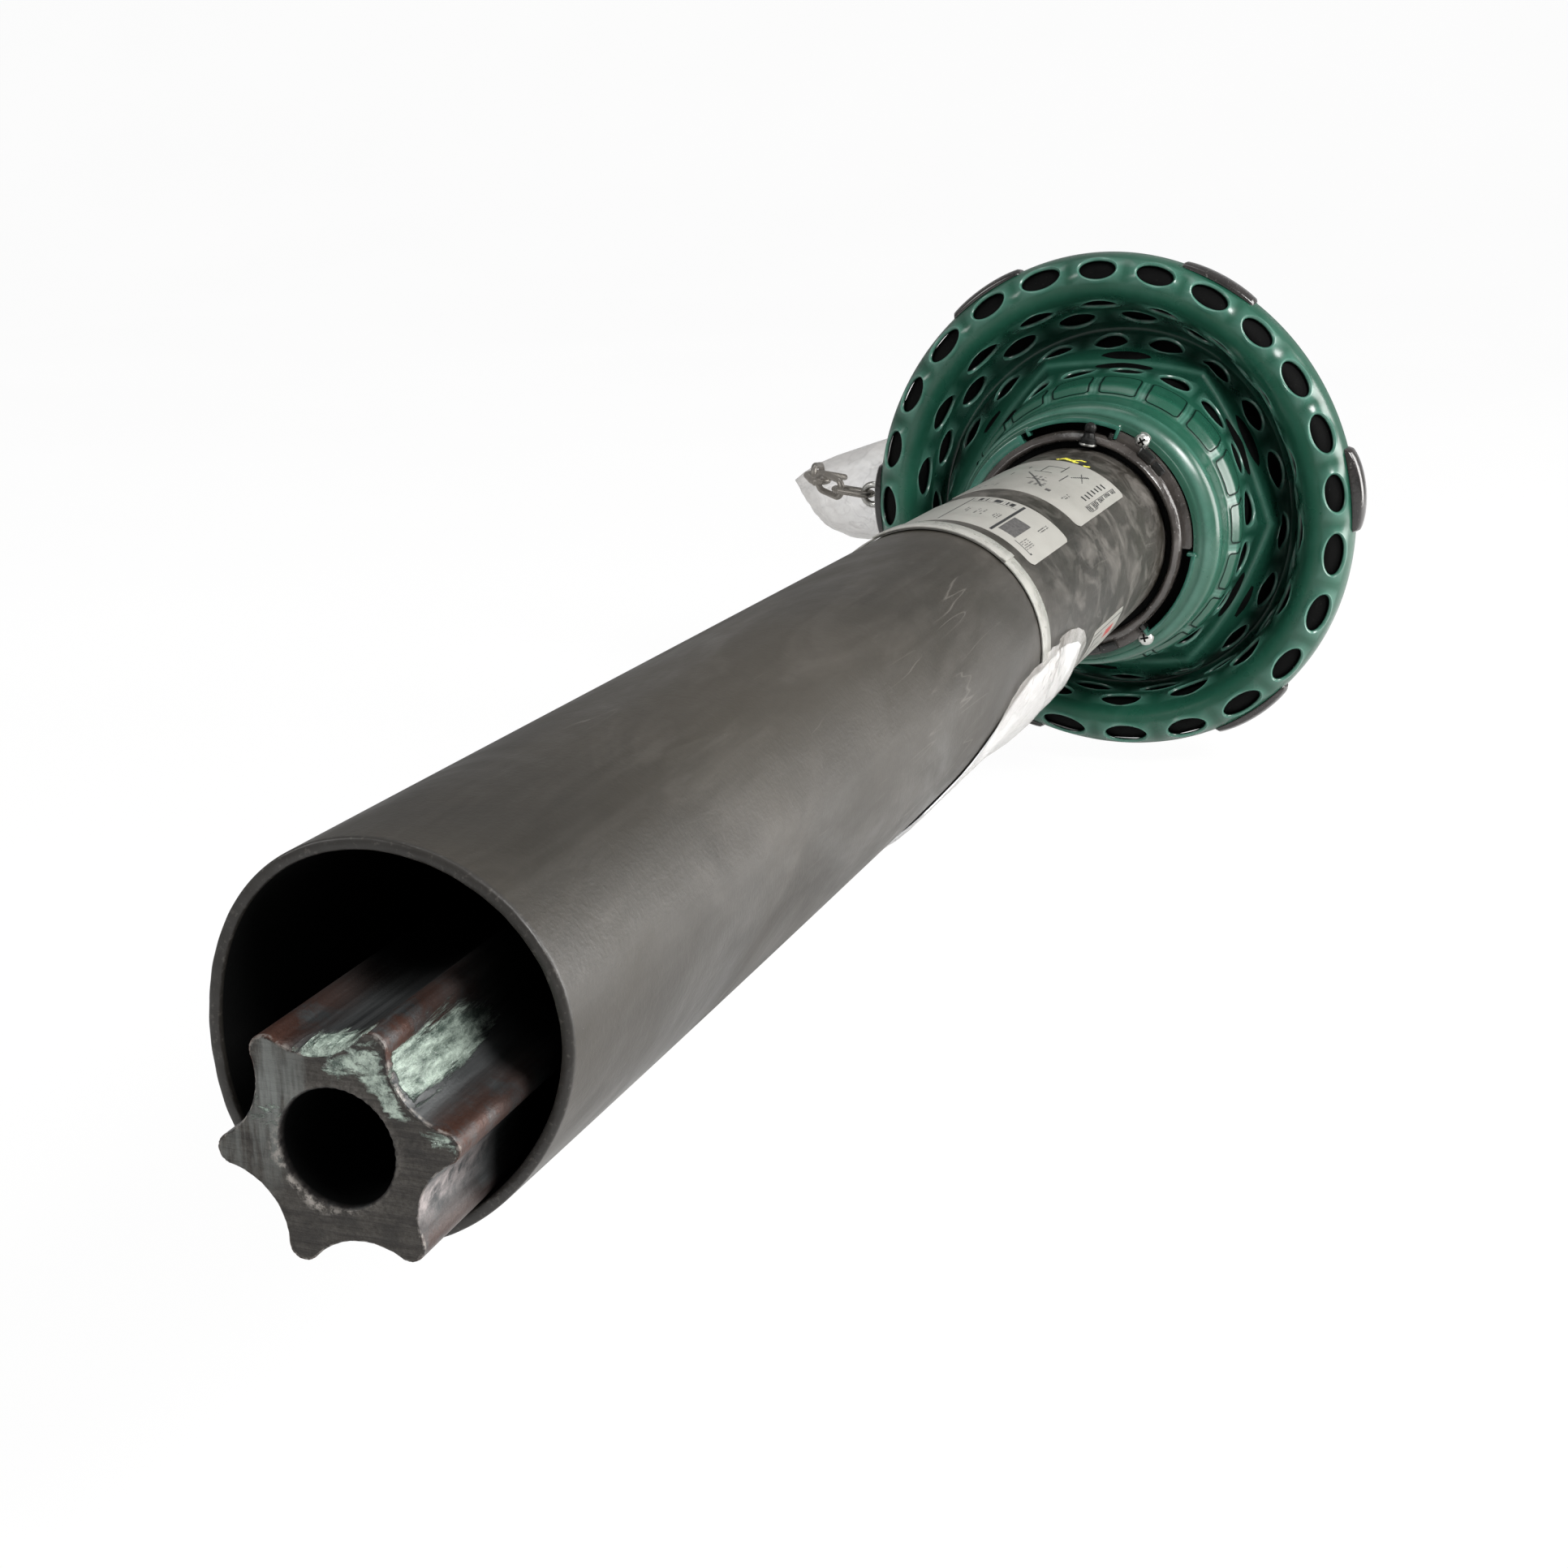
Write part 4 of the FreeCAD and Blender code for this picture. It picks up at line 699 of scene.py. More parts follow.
def build_star():
    """Skin, sawn face and bore, with attributes saying where rust and grease lie and where painted
    shade darkens the steel inside the tube.
    """
    outline = star_outline()
    count = len(outline)
    order = np.arange(count)
    ang = np.degrees(np.arctan2(outline[:, 1], outline[:, 0])) % 360
    out = np.roll(outline, -1, 0) - np.roll(outline, 1, 0)
    out = np.stack([out[:, 1], -out[:, 0]], -1)
    out /= np.linalg.norm(out, axis=1)[:, None]

    def near(centre, width):
        """1 round a centre angle, falling to 0."""
        return np.clip(1.3 - np.abs((ang - centre + 180) % 360 - 180) / width, 0, 1)

    def fade(x, start, length):
        return max(0.0, 1 - max(0.0, x - start) / length)

    names = ("face", "tip", "grease", "edge", "far", "pink", "left")
    attrs = {name: [] for name in names}
    rings = []

    def add_ring(x, section, **values):
        """One ring of points; x is measured from the sawn end."""
        rings.append(np.stack([np.full(count, STAR_X + x), section[:, 0], section[:, 1]], -1))
        for name in names:
            attrs[name].append(np.full(count, values.get(name, 0.0)))
        return range((len(rings) - 1) * count, len(rings) * count)

    # outside
    xs = np.concatenate([[0.0, 0.18, 0.5, 1.0, 2, 3.5, 5.5, 8, 11, 14, 18, 22, 26, 30, 36, 44,
                          55, 70, 90], np.linspace(120, STAR_LENGTH, 18)])
    chip = 0.35 * np.abs(np.sin(order * 0.61)) * np.abs(np.sin(order * 1.73 + 0.6)) + 0.10
    tipness = np.clip((np.hypot(*outline.T) - 18.6) / (23.0 - 18.6), 0, 1)
    flank = near(133, 17)
    rusty = np.clip(near(51.6, 16) + near(111.6, 13) + near(171.6, 14), 0, 1)
    inset = {0.0: chip + 0.15, 0.18: chip * 0.35}
    for x in xs:
        section = outline - out * (inset.get(x, 0.0) * np.ones(count))[:, None]
        if x > 0.6:
            # lumps of grease
            lump = (bell(x - 3.5, 5.0) * 1.9 * near(80, 19)
                    * (0.35 + 0.65 * np.sin(ang * 0.62 + 0.4) ** 2))
            lump += (bell(x - 16.0, 16.0) * 1.35 * flank
                     * (0.25 + 0.75 * np.sin(ang * 0.85 + x * 0.16) ** 2))
            section = section + out * (lump * (1 - tipness * 0.8))[:, None]
        grease = np.maximum.reduce([
            near(84, 20) * fade(x, 6, 12) * 0.9,
            near(100, 10) * 0.8 * fade(x, 0, 26),
            flank * fade(x, 24, 26) * (1.0 if x > 1.5 else 0.5),
            near(190, 14) * 0.55 * fade(x, 0, 24) * (1.0 if x > 2.5 else 0.2),
            0.30 * near(22, 18) * fade(x, 0, 30)])
        add_ring(x, section, face=1.0 if x == 0 else 0.0,
                 tip=np.clip(tipness * 0.75 + rusty * 0.7, 0, 1) * fade(x, 0, 60),
                 grease=grease, edge=0.55 if x <= 0.5 else 0.0,
                 # far: painted shade, rising from 16 mm inside the tube
                 far=min(1.0, max(0.0, (x - 16.0) / 30.0)) ** 0.7,
                 pink=near(206, 12) * fade(x, 0, 30) ** 0.7)
    faces = grid_faces(len(xs), count, False, True)
    last_outer = range((len(xs) - 1) * count, len(xs) * count)

    # sawn face, from the outline in to the bore
    bore = BORE_R * np.stack([np.cos(np.radians(ang)), np.sin(np.radians(ang))], -1)
    previous = range(count)
    for t in (0.06, 0.2, 0.4, 0.6, 0.8, 0.93, 1.0):
        smear = np.clip(near(126, 40) * (0.20 + 0.75 * math.sin(math.pi * min(1, t * 1.05 + 0.02)))
                        + near(92, 12) * (0.5 if t < 0.5 else 0.2), 0, 0.85)
        grease = np.maximum.reduce([smear * 0.86, 0.50 * near(166, 12) * (t < 0.5),
                                    0.42 * near(22, 22)])
        ring = add_ring(0.05 * np.sin(ang * 0.3 + t * 9), outline * (1 - t) + bore * 1.04 * t,
                        face=1.0, tip=0.2, grease=grease, left=near(25, 55),
                        edge=0.12 + 0.88 * near(318, 55) if t >= 0.93 else 0.0)
        faces += bridge(previous, ring)
        previous = ring

    # bore
    # the bore is painted near black as shade, a little less at its lip
    for x in (0.5, 2.0, 40, STAR_LENGTH):
        lip = x == 0.5
        ring = add_ring(x + 0.12 * np.sin(ang * 0.7) * lip, bore, tip=0.3,
                        far=0.75 if lip else 1.0, edge=0.7 * near(318, 55) * lip)
        faces += bridge(previous, ring)
        previous = ring
    faces += bridge(previous, last_outer)
    make("star_tube", np.concatenate(rings) * 0.001, faces, MAT["star"], body="shaft",
         replaces="profile_tube", auto=38,
         attrs={name: np.concatenate(values) for name, values in attrs.items()})


build_star()

# ------------------------------------------------------- the cone's wall ----
# outside of the wall from the collar face out to the rim: radius, station
WALL = np.array([
    (48.4, 580.0), (51.0, 580.2), (53.0, 581.8), (54.3, 585.2), (54.7, 590.0),
    (54.8, 598.0), (55.0, 603.0), (56.2, 606.2), (58.9, 610.5), (60.0, 617.0), (62.8, 632.0),
    (65.4, 643.0), (67.6, 648.6), (70.8, 651.8), (73.4, 657.5), (75.8, 666.0),
    (78.4, 669.8), (80.8, 666.6), (83.2, 654.0), (85.4, 643.5), (89.5, 637.6),
    (96.5, 636.0), (101.4, 638.6), (104.6, 642.4), (106.0, 647.0), (106.4, 653.0)])


def smooth_curve(points, count=4001):
    """Centripetal cubic through the points: its lengths, and points evenly along it."""
    knots = run_lengths(points, power=0.5)
    gaps = np.diff(knots)
    slopes = np.diff(points, axis=0) / gaps[:, None]
    tangents = np.zeros_like(points)
    tangents[0], tangents[-1] = slopes[0], slopes[-1]
    for i in range(1, len(points) - 1):
        tangents[i] = ((slopes[i - 1] * gaps[i] + slopes[i] * gaps[i - 1])
                       / (gaps[i] + gaps[i - 1]))
    t = np.linspace(0, knots[-1], count)
    k = np.clip(np.searchsorted(knots, t, "right") - 1, 0, len(gaps) - 1)
    u = ((t - knots[k]) / gaps[k])[:, None]
    gap = gaps[k][:, None]
    curve = ((2 * u ** 3 - 3 * u ** 2 + 1) * points[k]
             + (u ** 3 - 2 * u ** 2 + u) * gap * tangents[k]
             + (-2 * u ** 3 + 3 * u ** 2) * points[k + 1]
             + (u ** 3 - u ** 2) * gap * tangents[k + 1])
    lengths = run_lengths(curve)
    even = np.linspace(0, lengths[-1], count)
    return even, along(curve, lengths, even)


CURVE_S, CURVE = smooth_curve(WALL)
TANGENT = np.gradient(CURVE, CURVE_S, axis=0)
TANGENT /= np.linalg.norm(TANGENT, axis=1)[:, None]
# the outside lies toward smaller stations on the flat face
NORMAL = np.stack([TANGENT[:, 1], -TANGENT[:, 0]], -1)


def wall_at(s):
    """Radius, station and the outward normal's two parts at arc length s."""
    return (*along(CURVE, CURVE_S, s).T, *along(NORMAL, CURVE_S, s).T)


def wall_s(radius, station):
    """Arc length of the wall point nearest a radius and station."""
    return CURVE_S[np.argmin((CURVE[:, 0] - radius) ** 2 + (CURVE[:, 1] - station) ** 2)]


def even_shift(value):
    return [value] + [0.0] * 6


# The soft guard is pushed off centre and out of round. At arc lengths along the wall:
# sideways shift in Y and in Z, mm, each as 1, cos, sin, cos 2, sin 2, cos 3, sin 3.
S_END = CURVE_S[-1]
RIM_SHIFT = ([-2.19, -0.83, 1.63, 1.17, -3.06, -0.73, 0.27], [7.9, 1.95, 0.2, 1.6, -0.25, -0.85, -0.7])
SHIFTS = [
    (0.0, even_shift(-0.8), even_shift(0.4)),
    (wall_s(54.3, 585.2), even_shift(-4.6), even_shift(1.6)),
    (wall_s(56.2, 606.2), even_shift(-4.4), even_shift(1.8)),
    (wall_s(63.9, 636.5), [-3.49, -3.43, -0.02, 0.13, -1.39, -1.25, -0.62],
     [2.72, -0.53, -0.82, 0.27, 0.22, 0.53, 0.38]),
    (wall_s(74.8, 662.8), [-0.65, 0.01, 0.2, 1.46, -2.37, -0.37, 0.21],
     [0.74, -0.04, 0.5, 1.16, -1.32, -0.22, -0.07]),
    (wall_s(84.6, 646.6), [-0.56, -0.76, 1.05, 0.64, -2.51, -0.57, 0.62],
     [6.0, 1.2, 1.8, 0.5, 0.0, -0.46, -0.39]),
    (wall_s(99.8, 638.2), *RIM_SHIFT),
    (S_END + 30.0, *RIM_SHIFT)]
SHIFT_S, SHIFT_Y, SHIFT_Z = (np.array(column) for column in zip(*SHIFTS))
SHIFT_Z = 0.90 * SHIFT_Z


def soften(points, s, deg):
    """Points moved by the guard's sideways shift at arc length s and angle deg."""
    s = np.asarray(s, float)
    a = np.radians(np.asarray(deg, float))
    waves = np.stack([np.ones_like(a), np.cos(a), np.sin(a), np.cos(2 * a), np.sin(2 * a),
                      np.cos(3 * a), np.sin(3 * a)], -1)
    k = np.clip(np.searchsorted(SHIFT_S, s, "right") - 1, 0, len(SHIFT_S) - 2)
    u = ease((s - SHIFT_S[k]) / (SHIFT_S[k + 1] - SHIFT_S[k]))[..., None]
    moved = np.array(points, float)
    for axis, table in ((1, SHIFT_Y), (2, SHIFT_Z)):
        moved[..., axis] += np.sum((table[k] * (1 - u) + table[k + 1] * u) * waves, -1)
    return moved


def on_wall(s, deg, lift):
    """Points lifted off the outside of the wall."""
    radius, station, out_r, out_s = wall_at(s)
    # transposing two-dimensional input in wall_at keeps its row and column order swapped back
    return soften(polar(station + out_s * lift, radius + out_r * lift, deg), s, deg)


def at_rim(station, radius, deg):
    """Points that move with the rim."""
    return soften(polar(station, radius, deg), S_END, deg)


# ------------------------------------------------------------------ cone ----
COLUMNS = 432
CELL_STEPS = 8
NO_VENT = 99.0                              # distance given to points far from a vent
# rows of vents: radius, station, half width round, half height along, count, first angle,
# half height of the band of wall that holds them
VENT_ROWS = [
    (63.9, 636.5, 7.3, 5.7, 18, 75.0, 7.8),
    (74.8, 662.8, 7.7, 5.3, 18, 85.0, 6.2),
    (81.9, 661.4, 8.0, 5.2, 18, 75.0, 6.0),
    (84.6, 646.6, 8.4, 5.4, 18, 85.0, 6.3),
    (99.8, 638.0, 8.5, 4.75, 24, 55.0, 7.0),
]
# loops round each vent: distance from its edge, and its greatest share of the way to the
# cell's border
VENT_LOOPS = ((0.0, 0.0), (0.35, 0.2), (0.8, 0.42), (1.5, 0.66), (math.inf, 0.84))
CONE_WALL = 1.0
S_FACE = wall_s(49.4, 580.0)
S_WINDOW = wall_s(48.3, 580.0)
S_RIDGE = wall_s(68.6, 650.2)
S_PAD0, S_PAD1 = wall_s(55.3, 604.6), wall_s(61.4, 624.5)
SCREW_DEG = 116.0
WINDOWS = [SCREW_DEG - 29.0 + 120 * k for k in range(3)]
WINDOW_HALF = 21.25                         # degrees
PADS, FIRST_PAD, PAD_PITCH = 18, 96.0, 20.0


def cone_grid():
    """Wall grid with vent holes: (arc length, degrees, distance to a vent) and quads."""
    spots, faces = [], []
    columns = turn(COLUMNS)

    def add_points(lengths, degrees, gaps):
        base = len(spots)
        spots.extend(zip(*np.broadcast_arrays(lengths, degrees, gaps)))
        return range(base, len(spots))

    def add_ring(s):
        return add_points(s, columns, NO_VENT)

    def add_plain(ring, start, stop, step):
        """Plain rings from an existing one; returns the last."""
        count = max(1, int(round((stop - start) / step)))
        for i in range(1, count + 1):
            following = add_ring(start + (stop - start) * i / count)
            faces.extend(bridge(ring, following))
            ring = following
        return ring

    def add_vents(lower, start, stop, row):
        """A band of cells, each with an oval hole; returns the upper ring."""
        radius, _, half_width, half_height, count, phase, _ = row
        upper = add_ring(stop)
        across = COLUMNS // count
        first = int(round((phase - 180.0 / count) / (360.0 / COLUMNS)))
        levels = start + (stop - start) * np.arange(1, CELL_STEPS) / CELL_STEPS
        sides = [add_points(levels, columns[(first + c * across) % COLUMNS], NO_VENT)
                 for c in range(count)]
        cell_u = radius * math.radians(360.0 / count) / 2.0
        cell_v = (stop - start) / 2.0
        run = np.arange(across) * 2.0 / across - 1
        climb = np.arange(CELL_STEPS) * 2.0 / CELL_STEPS - 1
        short, tall = np.ones(across), np.ones(CELL_STEPS)
        u = np.concatenate([run, tall, -run, -tall]) * cell_u
        v = np.concatenate([-short, climb, short, -climb]) * cell_v
        phi = np.arctan2(v / cell_v, u / cell_u)
        for c in range(count):
            begin = first + c * across
            end = begin + across
            border = [lower[(begin + k) % COLUMNS] for k in range(across)]
            border += [lower[end % COLUMNS], *sides[(c + 1) % count]]
            border += [upper[(end - k) % COLUMNS] for k in range(across)]
            border += [upper[begin % COLUMNS], *reversed(sides[c])]
            uneven = 1 + 0.05 * math.sin(c * 2.3 + radius)
            oval_u = half_width * uneven * np.cos(phi)
            oval_v = half_height * np.sin(phi)
            reach = np.hypot(u - oval_u, v - oval_v)
            middle_deg = (begin + across / 2.0) * 360.0 / COLUMNS
            loops = []
            for distance, limit in VENT_LOOPS:
                t = np.minimum(distance / reach, limit)
                loops.append(add_points(
                    0.5 * (start + stop) + oval_v + (v - oval_v) * t,
                    middle_deg + np.degrees((oval_u + (u - oval_u) * t) / radius), t * reach))
            loops.append(border)
            for inside, outside in zip(loops, loops[1:]):
                faces.extend(bridge(inside, outside, flip=True))
        return upper

    bands = []
    for radius, station, *_, half in VENT_ROWS:
        middle = wall_s(radius, station)
        bands.append([middle - half, middle + half])
    for lower, upper in zip(bands, bands[1:]):
        if upper[0] < lower[1] + 0.3:
            lower[1] = upper[0] = 0.5 * (upper[0] + lower[1])

    # finer steps where the face groove and the pads are
    ring, s = add_ring(0.0), 0.0
    for target, step in ((S_FACE + 6, 0.45), (S_PAD0 - 1, 1.2), (S_PAD1 + 1, 0.55)):
        ring = add_plain(ring, s, target, step)
        s = target
    for (start, stop), row in zip(bands, VENT_ROWS):
        if start - s > 0.05:
            ring = add_plain(ring, s, start, 1.3)
        ring = add_vents(ring, start, stop, row)
        s = stop
    add_plain(ring, s, S_END, 2.2)
    return np.array(spots), faces


def six_sided(deg):
    """Radius change of a rounded hexagon."""
    a = (deg - 62.0) % 60.0
    a = np.minimum(a, 60.0 - a)             # 0 at a corner, 30 mid flat
    flat = math.cos(math.radians(30.0)) / np.cos(np.radians(30.0 - a))
    return (flat - 0.935) * 46.0


def build_cone():
    spots, faces = cone_grid()
    s, deg, gap = spots.T
    # rolled lip at each vent
    relief = 0.50 * bell(gap - 0.9, 0.7) - 0.45 * bell(gap, 0.35)
    # rim of the windows in the collar face, and the turned groove
    in_window = np.zeros(len(s), bool)
    for centre in WINDOWS:
        away = np.abs((deg - centre + 180) % 360 - 180)
        side = (away - WINDOW_HALF) * math.radians(1) * 47.0
        inside = (away < WINDOW_HALF - 1e-6) & (s < S_WINDOW - 1e-6)
        in_window |= inside
        distance = np.where(s < S_WINDOW, np.abs(side),
                            np.hypot(np.maximum(side, 0), s - S_WINDOW))
        distance = np.where(away > WINDOW_HALF + 4, 99, distance)
        relief += 1.15 * bell(distance - 0.7, 0.75, power=4) * (~inside)
    relief -= 0.5 * bell(s - (S_FACE + 1.6), 0.45)
    # raised pads round the neck, each with a slight frame
    off_pad = (deg - FIRST_PAD) % PAD_PITCH
    off_pad = np.minimum(off_pad, PAD_PITCH - off_pad)
    pad_round = np.clip((8.3 - off_pad) / 0.9, 0, 1)
    pad_along = np.clip((s - S_PAD0) / 1.0, 0, 1) * np.clip((S_PAD1 - s) / 1.0, 0, 1)
    relief += 0.45 * ease(pad_round * pad_along)
    edges = (bell(8.0 - off_pad, 0.6) * pad_along
             + pad_round * (bell(s - S_PAD0 - 0.8, 0.7) + bell(S_PAD1 - 0.8 - s, 0.7)))
    relief += 0.1 * np.clip(edges, 0, 1)
    ridge_line = bell(s - S_RIDGE, 1.3)
    relief += 0.7 * ridge_line

    radius, station, out_r, out_s = wall_at(s)
    radius = radius + six_sided(deg) * bell(s - S_RIDGE, 11.0)
    front, back = (soften(polar(station + out_s * lift, radius + out_r * lift, deg), s, deg)
                   for lift in (relief, -CONE_WALL))

    # front, back, and edge strips with a middle line
    count = len(s)
    kept = [face for face in faces if not any(in_window[i] for i in face)]
    closed = kept + [tuple(i + count for i in face[::-1]) for face in kept]
    sides = dict.fromkeys((face[k], face[(k + 1) % 4]) for face in kept for k in range(4))
    open_sides = [(a, b) for a, b in sides if (b, a) not in sides]
    middle_points, middle = [], {}
    for side in open_sides:
        for i in side:
            if i not in middle:
                middle[i] = 2 * count + len(middle_points)
                middle_points.append(0.5 * (front[i] + back[i]))
    for a, b in open_sides:
        closed.append((b, a, middle[a], middle[b]))
        closed.append((middle[b], middle[a], a + count, b + count))

    # pale rims: partly worn edges, partly painted highlight on the vent lips, the ridge, the pad
    # separators and the neck
    rim = np.maximum.reduce([
        np.clip(1.15 * bell(gap - 0.8, 0.75), 0, 1),
        0.42 * ridge_line,
        0.75 * np.clip(1 - np.abs(off_pad - 9.2) / 0.9, 0, 1) * pad_along,
        0.5 * bell(s - wall_s(54.4, 587.0), 1.6),
        0.5 * bell(s - S_FACE - 3.2, 1.3)])
    # painted shade: darker in the sunken folds; the back of the wall and the vent cut edges are
    # painted near black
    painted_shade = np.maximum(np.clip(1.25 * bell(s - wall_s(76.4, 668.0), 17.0), 0, 1),
                      0.75 * bell(s - wall_s(66.0, 645.0), 9.0))
    points = np.concatenate([front, back, np.array(middle_points)])
    unlined = len(middle_points)
    rim = np.concatenate([rim, np.zeros(count + unlined)])
    painted_shade = np.concatenate([painted_shade, np.full(count, 1.6), np.full(unlined, 1.35)])

    # drop the points left over inside the windows
    used = np.zeros(len(points), bool)
    used[np.array(closed).ravel()] = True
    renumber = np.cumsum(used) - 1
    closed = [tuple(int(renumber[i]) for i in face) for face in closed]
    make("cone_skin", to_row(points[used]), closed, MAT["cone"], replaces="guard_cone", auto=55,
         attrs={"rim": rim[used], "painted_shade": painted_shade[used]})


build_cone()


def build_pad_groove_shade():
    """Thin near-black strips along the outlines of the neck pads, standing just clear of the wall:
    painted shade for the grooves round the pads.
    """
    half_round, inset = 7.7, 1.0            # degrees, mm
    corner_s, corner_deg = 2.0, 1.9
    half_line, lift, sunk = 0.32, 0.56, -0.5
    s0, s1 = S_PAD0 + inset, S_PAD1 - inset
    shell = Shell()
    for k in range(PADS):
        centre = FIRST_PAD + PAD_PITCH * k
        low, high = centre - half_round, centre + half_round
        corners = []
        for s, deg, s_in, deg_in in ((s0, low, 1, 1), (s0, high, 1, -1),
                                     (s1, high, -1, -1), (s1, low, -1, 1)):
            for t in np.linspace(0, 1, 4):
                a = math.radians(90 * t)
                u, v = 1 - math.sin(a), 1 - math.cos(a)
                if s_in != deg_in:
                    u, v = v, u
                corners.append((s + s_in * corner_s * u, deg + deg_in * corner_deg * v))
        path = []
        for here, there in zip(corners, corners[1:] + corners[:1]):
            count = max(1, int(max(abs(here[0] - there[0]), abs(here[1] - there[1])) / 1.5))
            path += [(here[0] + (there[0] - here[0]) * i / count,
                      here[1] + (there[1] - here[1]) * i / count) for i in range(count)]
        s, deg = np.array(path).T
        radius = wall_at(s)[0]
        ahead_s = np.roll(s, -1) - np.roll(s, 1)
        ahead_deg = np.radians(np.roll(deg, -1) - np.roll(deg, 1)) * radius
        length = np.hypot(ahead_s, ahead_deg)
        edges = []
        for side, height in ((-1, sunk), (-1, lift), (1, lift), (1, sunk)):
            offset = half_line * side / length
            edges.append(on_wall(s - ahead_deg * offset,
                                 deg + np.degrees(ahead_s * offset / radius), height))
        shell.sweep(np.stack(edges, 1), ring=True)
    shell.make("pad_groove_shade", MAT["groove_shade"], smooth=False)


build_pad_groove_shade()


# -------------------------------------------------------- shade liner and lugs ----
def build_shade_liner():
    """Near-black sheet behind the cone as painted shade seen through the vents, the hoop the lugs
    stand on, and one tab.
    """
    rows, columns = 70, 240
    front_lift, back_lift = -2.0, -3.4
    shell = Shell()
    levels = np.linspace(wall_s(60.0, 617.0), wall_s(104.6, 642.4), rows)
    degrees = turn(columns)
    layers = [on_wall(np.full(columns, s), degrees, lift)
              for lift in (front_lift, back_lift) for s in levels]
    size = rows * columns
    last = size - columns
    faces = grid_faces(rows, columns, False, True, 0, True)
    faces += grid_faces(rows, columns, False, True, size)
    faces += bridge(range(columns), range(size, size + columns))
    faces += bridge(range(last, size), range(size + last, 2 * size), flip=True)
    shell.add(np.array(layers), faces)

    # station, radius
    hoop = rounded([(645.0, 100.6), (645.0, 102.9), (656.5, 102.9), (656.5, 102.1),
                    (653.0, 100.6)], 0.4, 3)
    shell.sweep([at_rim(hoop[:, 0], hoop[:, 1], deg) for deg in degrees], ring=True)

    tab = []
    for deg, bevel in ((-4.5, 0.5), (-3.9, 0.0), (0.0, 0.0), (3.9, 0.0), (4.5, 0.5)):
        inner, outer, tip = 106.2 + bevel, 108.8 - bevel, 684.0 - bevel
        tab.append(at_rim([654.0, tip, tip, 654.0], [inner, inner, outer, outer], deg))
    faces = []
    for i in range(4):
        faces += bridge(range(4 * i, 4 * i + 4), range(4 * i + 4, 4 * i + 8))
    faces += [(3, 2, 1, 0), (16, 17, 18, 19)]
    shell.add(np.array(tab), faces)
    shell.make("shade_liner_skin", MAT["shade_black"], replaces="cone_liner", auto=40)


build_shade_liner()


def build_lugs():
    """Leaf-shaped lugs gripping the rim."""
    first, pitch, half = 55.0, 60, 9.7      # degrees
    crowns = (0.9, 0.9, 3.4, 1.5, 1.5, 1.6)     # height of each lug's bulge
    corner_radii = [0.2, 0.8, 1.4, 1.0, 0.8, 0.6, 0.3, 0.3, 0.3]
    sections = 34
    shell = Shell()
    for k, crown in enumerate(crowns):
        leaf = []
        for i in range(sections):
            u = -1 + 2.0 * i / (sections - 1)
            end = max(0.0, 1 - (1 - abs(u)) / 0.06) ** 2
            bulge = (1 - u * u) ** 0.6
            top = 107.6 + crown * bulge - 0.5 * end
            near_side = 644.6 - 0.9 * bulge + 0.8 * end
            far_side = 655.9 + 0.7 * bulge - 0.8 * end
            outline = rounded(
                [(near_side, 105.4), (near_side, top - 1.3), (near_side + 3.2, top + 0.1),
                 (650.0, top + 0.1), (far_side - 1.6, top - 0.2), (far_side, top - 0.9),
                 (far_side, 103.0), (far_side - 2.6, 103.0), (far_side - 2.6, 106.2)],
                corner_radii, 3)
            leaf.append(at_rim(outline[:, 0], outline[:, 1], first + pitch * k + half * u))
        shell.sweep(leaf)
    shell.make("lug_skins", MAT["lug"], auto=38)


build_lugs()


# ---------------------------------------------------------------- collar ----
def build_collar():
    """Near-black body with the groove round the tube, painted darker and duller than the black plastic
    as shade, and the worn ring in front of it.
    """
    # station, radius
    body = rounded([
        (579.5, 38.15), (579.5, 40.4), (583.2, 40.4), (587.5, 43.0), (587.5, 49.4),
        (592.0, 51.2), (592.0, 42.0), (605.4, 42.0), (605.4, 36.6), (591.0, 36.6),
        (591.0, 38.15)], 0.3, 3)
    shell = Shell()
    shell.sweep([polar(body[:, 0], body[:, 1], deg) for deg in turn(256)], ring=True)
    shell.make("collar_skin", MAT["shade_black"], replaces="tube_collar", auto=35)

    worn = rounded([(583.6, 40.5), (577.6, 40.45), (575.2, 41.3), (574.9, 42.3), (576.6, 43.9),
                    (578.0, 44.8), (583.6, 44.8)], [0.2, 0.5, 0.7, 0.9, 0.6, 0.5, 0.2], 4)
    station, radius = worn.T
    sections = []
    for deg in turn(300):
        wave = 0.10 * math.sin(math.radians(deg * 9 + 20)) * (station < 577)
        swell = 0.12 * math.sin(math.radians(deg * 5)) + 0.05 * math.sin(math.radians(deg * 23))
        sections.append(polar(station + wave, radius + swell, deg))
    shell = Shell()
    shell.sweep(sections, ring=True)
    shell.make("collar_ring", MAT["worn"], auto=35)


build_collar()

# curved blocks, repeated at each screw: mesh, stations, radii, degrees from the screw,
# number of sections, corner radius
COLLAR_BLOCKS = [
    ("collar_lands", 578.4, 584.0, 44.0, 48.6, -5.5, 65.0, 60, 0.9),
    ("collar_latches", 576.4, 579.6, 44.4, 48.4, 8.5, 17.0, 12, 0.7),
    ("collar_latches", 577.2, 579.6, 44.4, 47.6, 18.0, 25.0, 8, 0.5),
    ("collar_latches", 576.8, 583.6, 44.2, 47.0, -9.0, -6.6, 6, 0.4),
    # rails round each window
    ("window_rails", 577.3, 581.0, 48.0, 49.7, -51.5, -6.0, 44, 0.6),
    ("window_rails", 577.3, 583.0, 44.4, 49.6, -7.4, -5.6, 5, 0.5),
    ("window_rails", 577.6, 583.0, 46.2, 49.6, -52.8, -51.0, 5, 0.5),
]


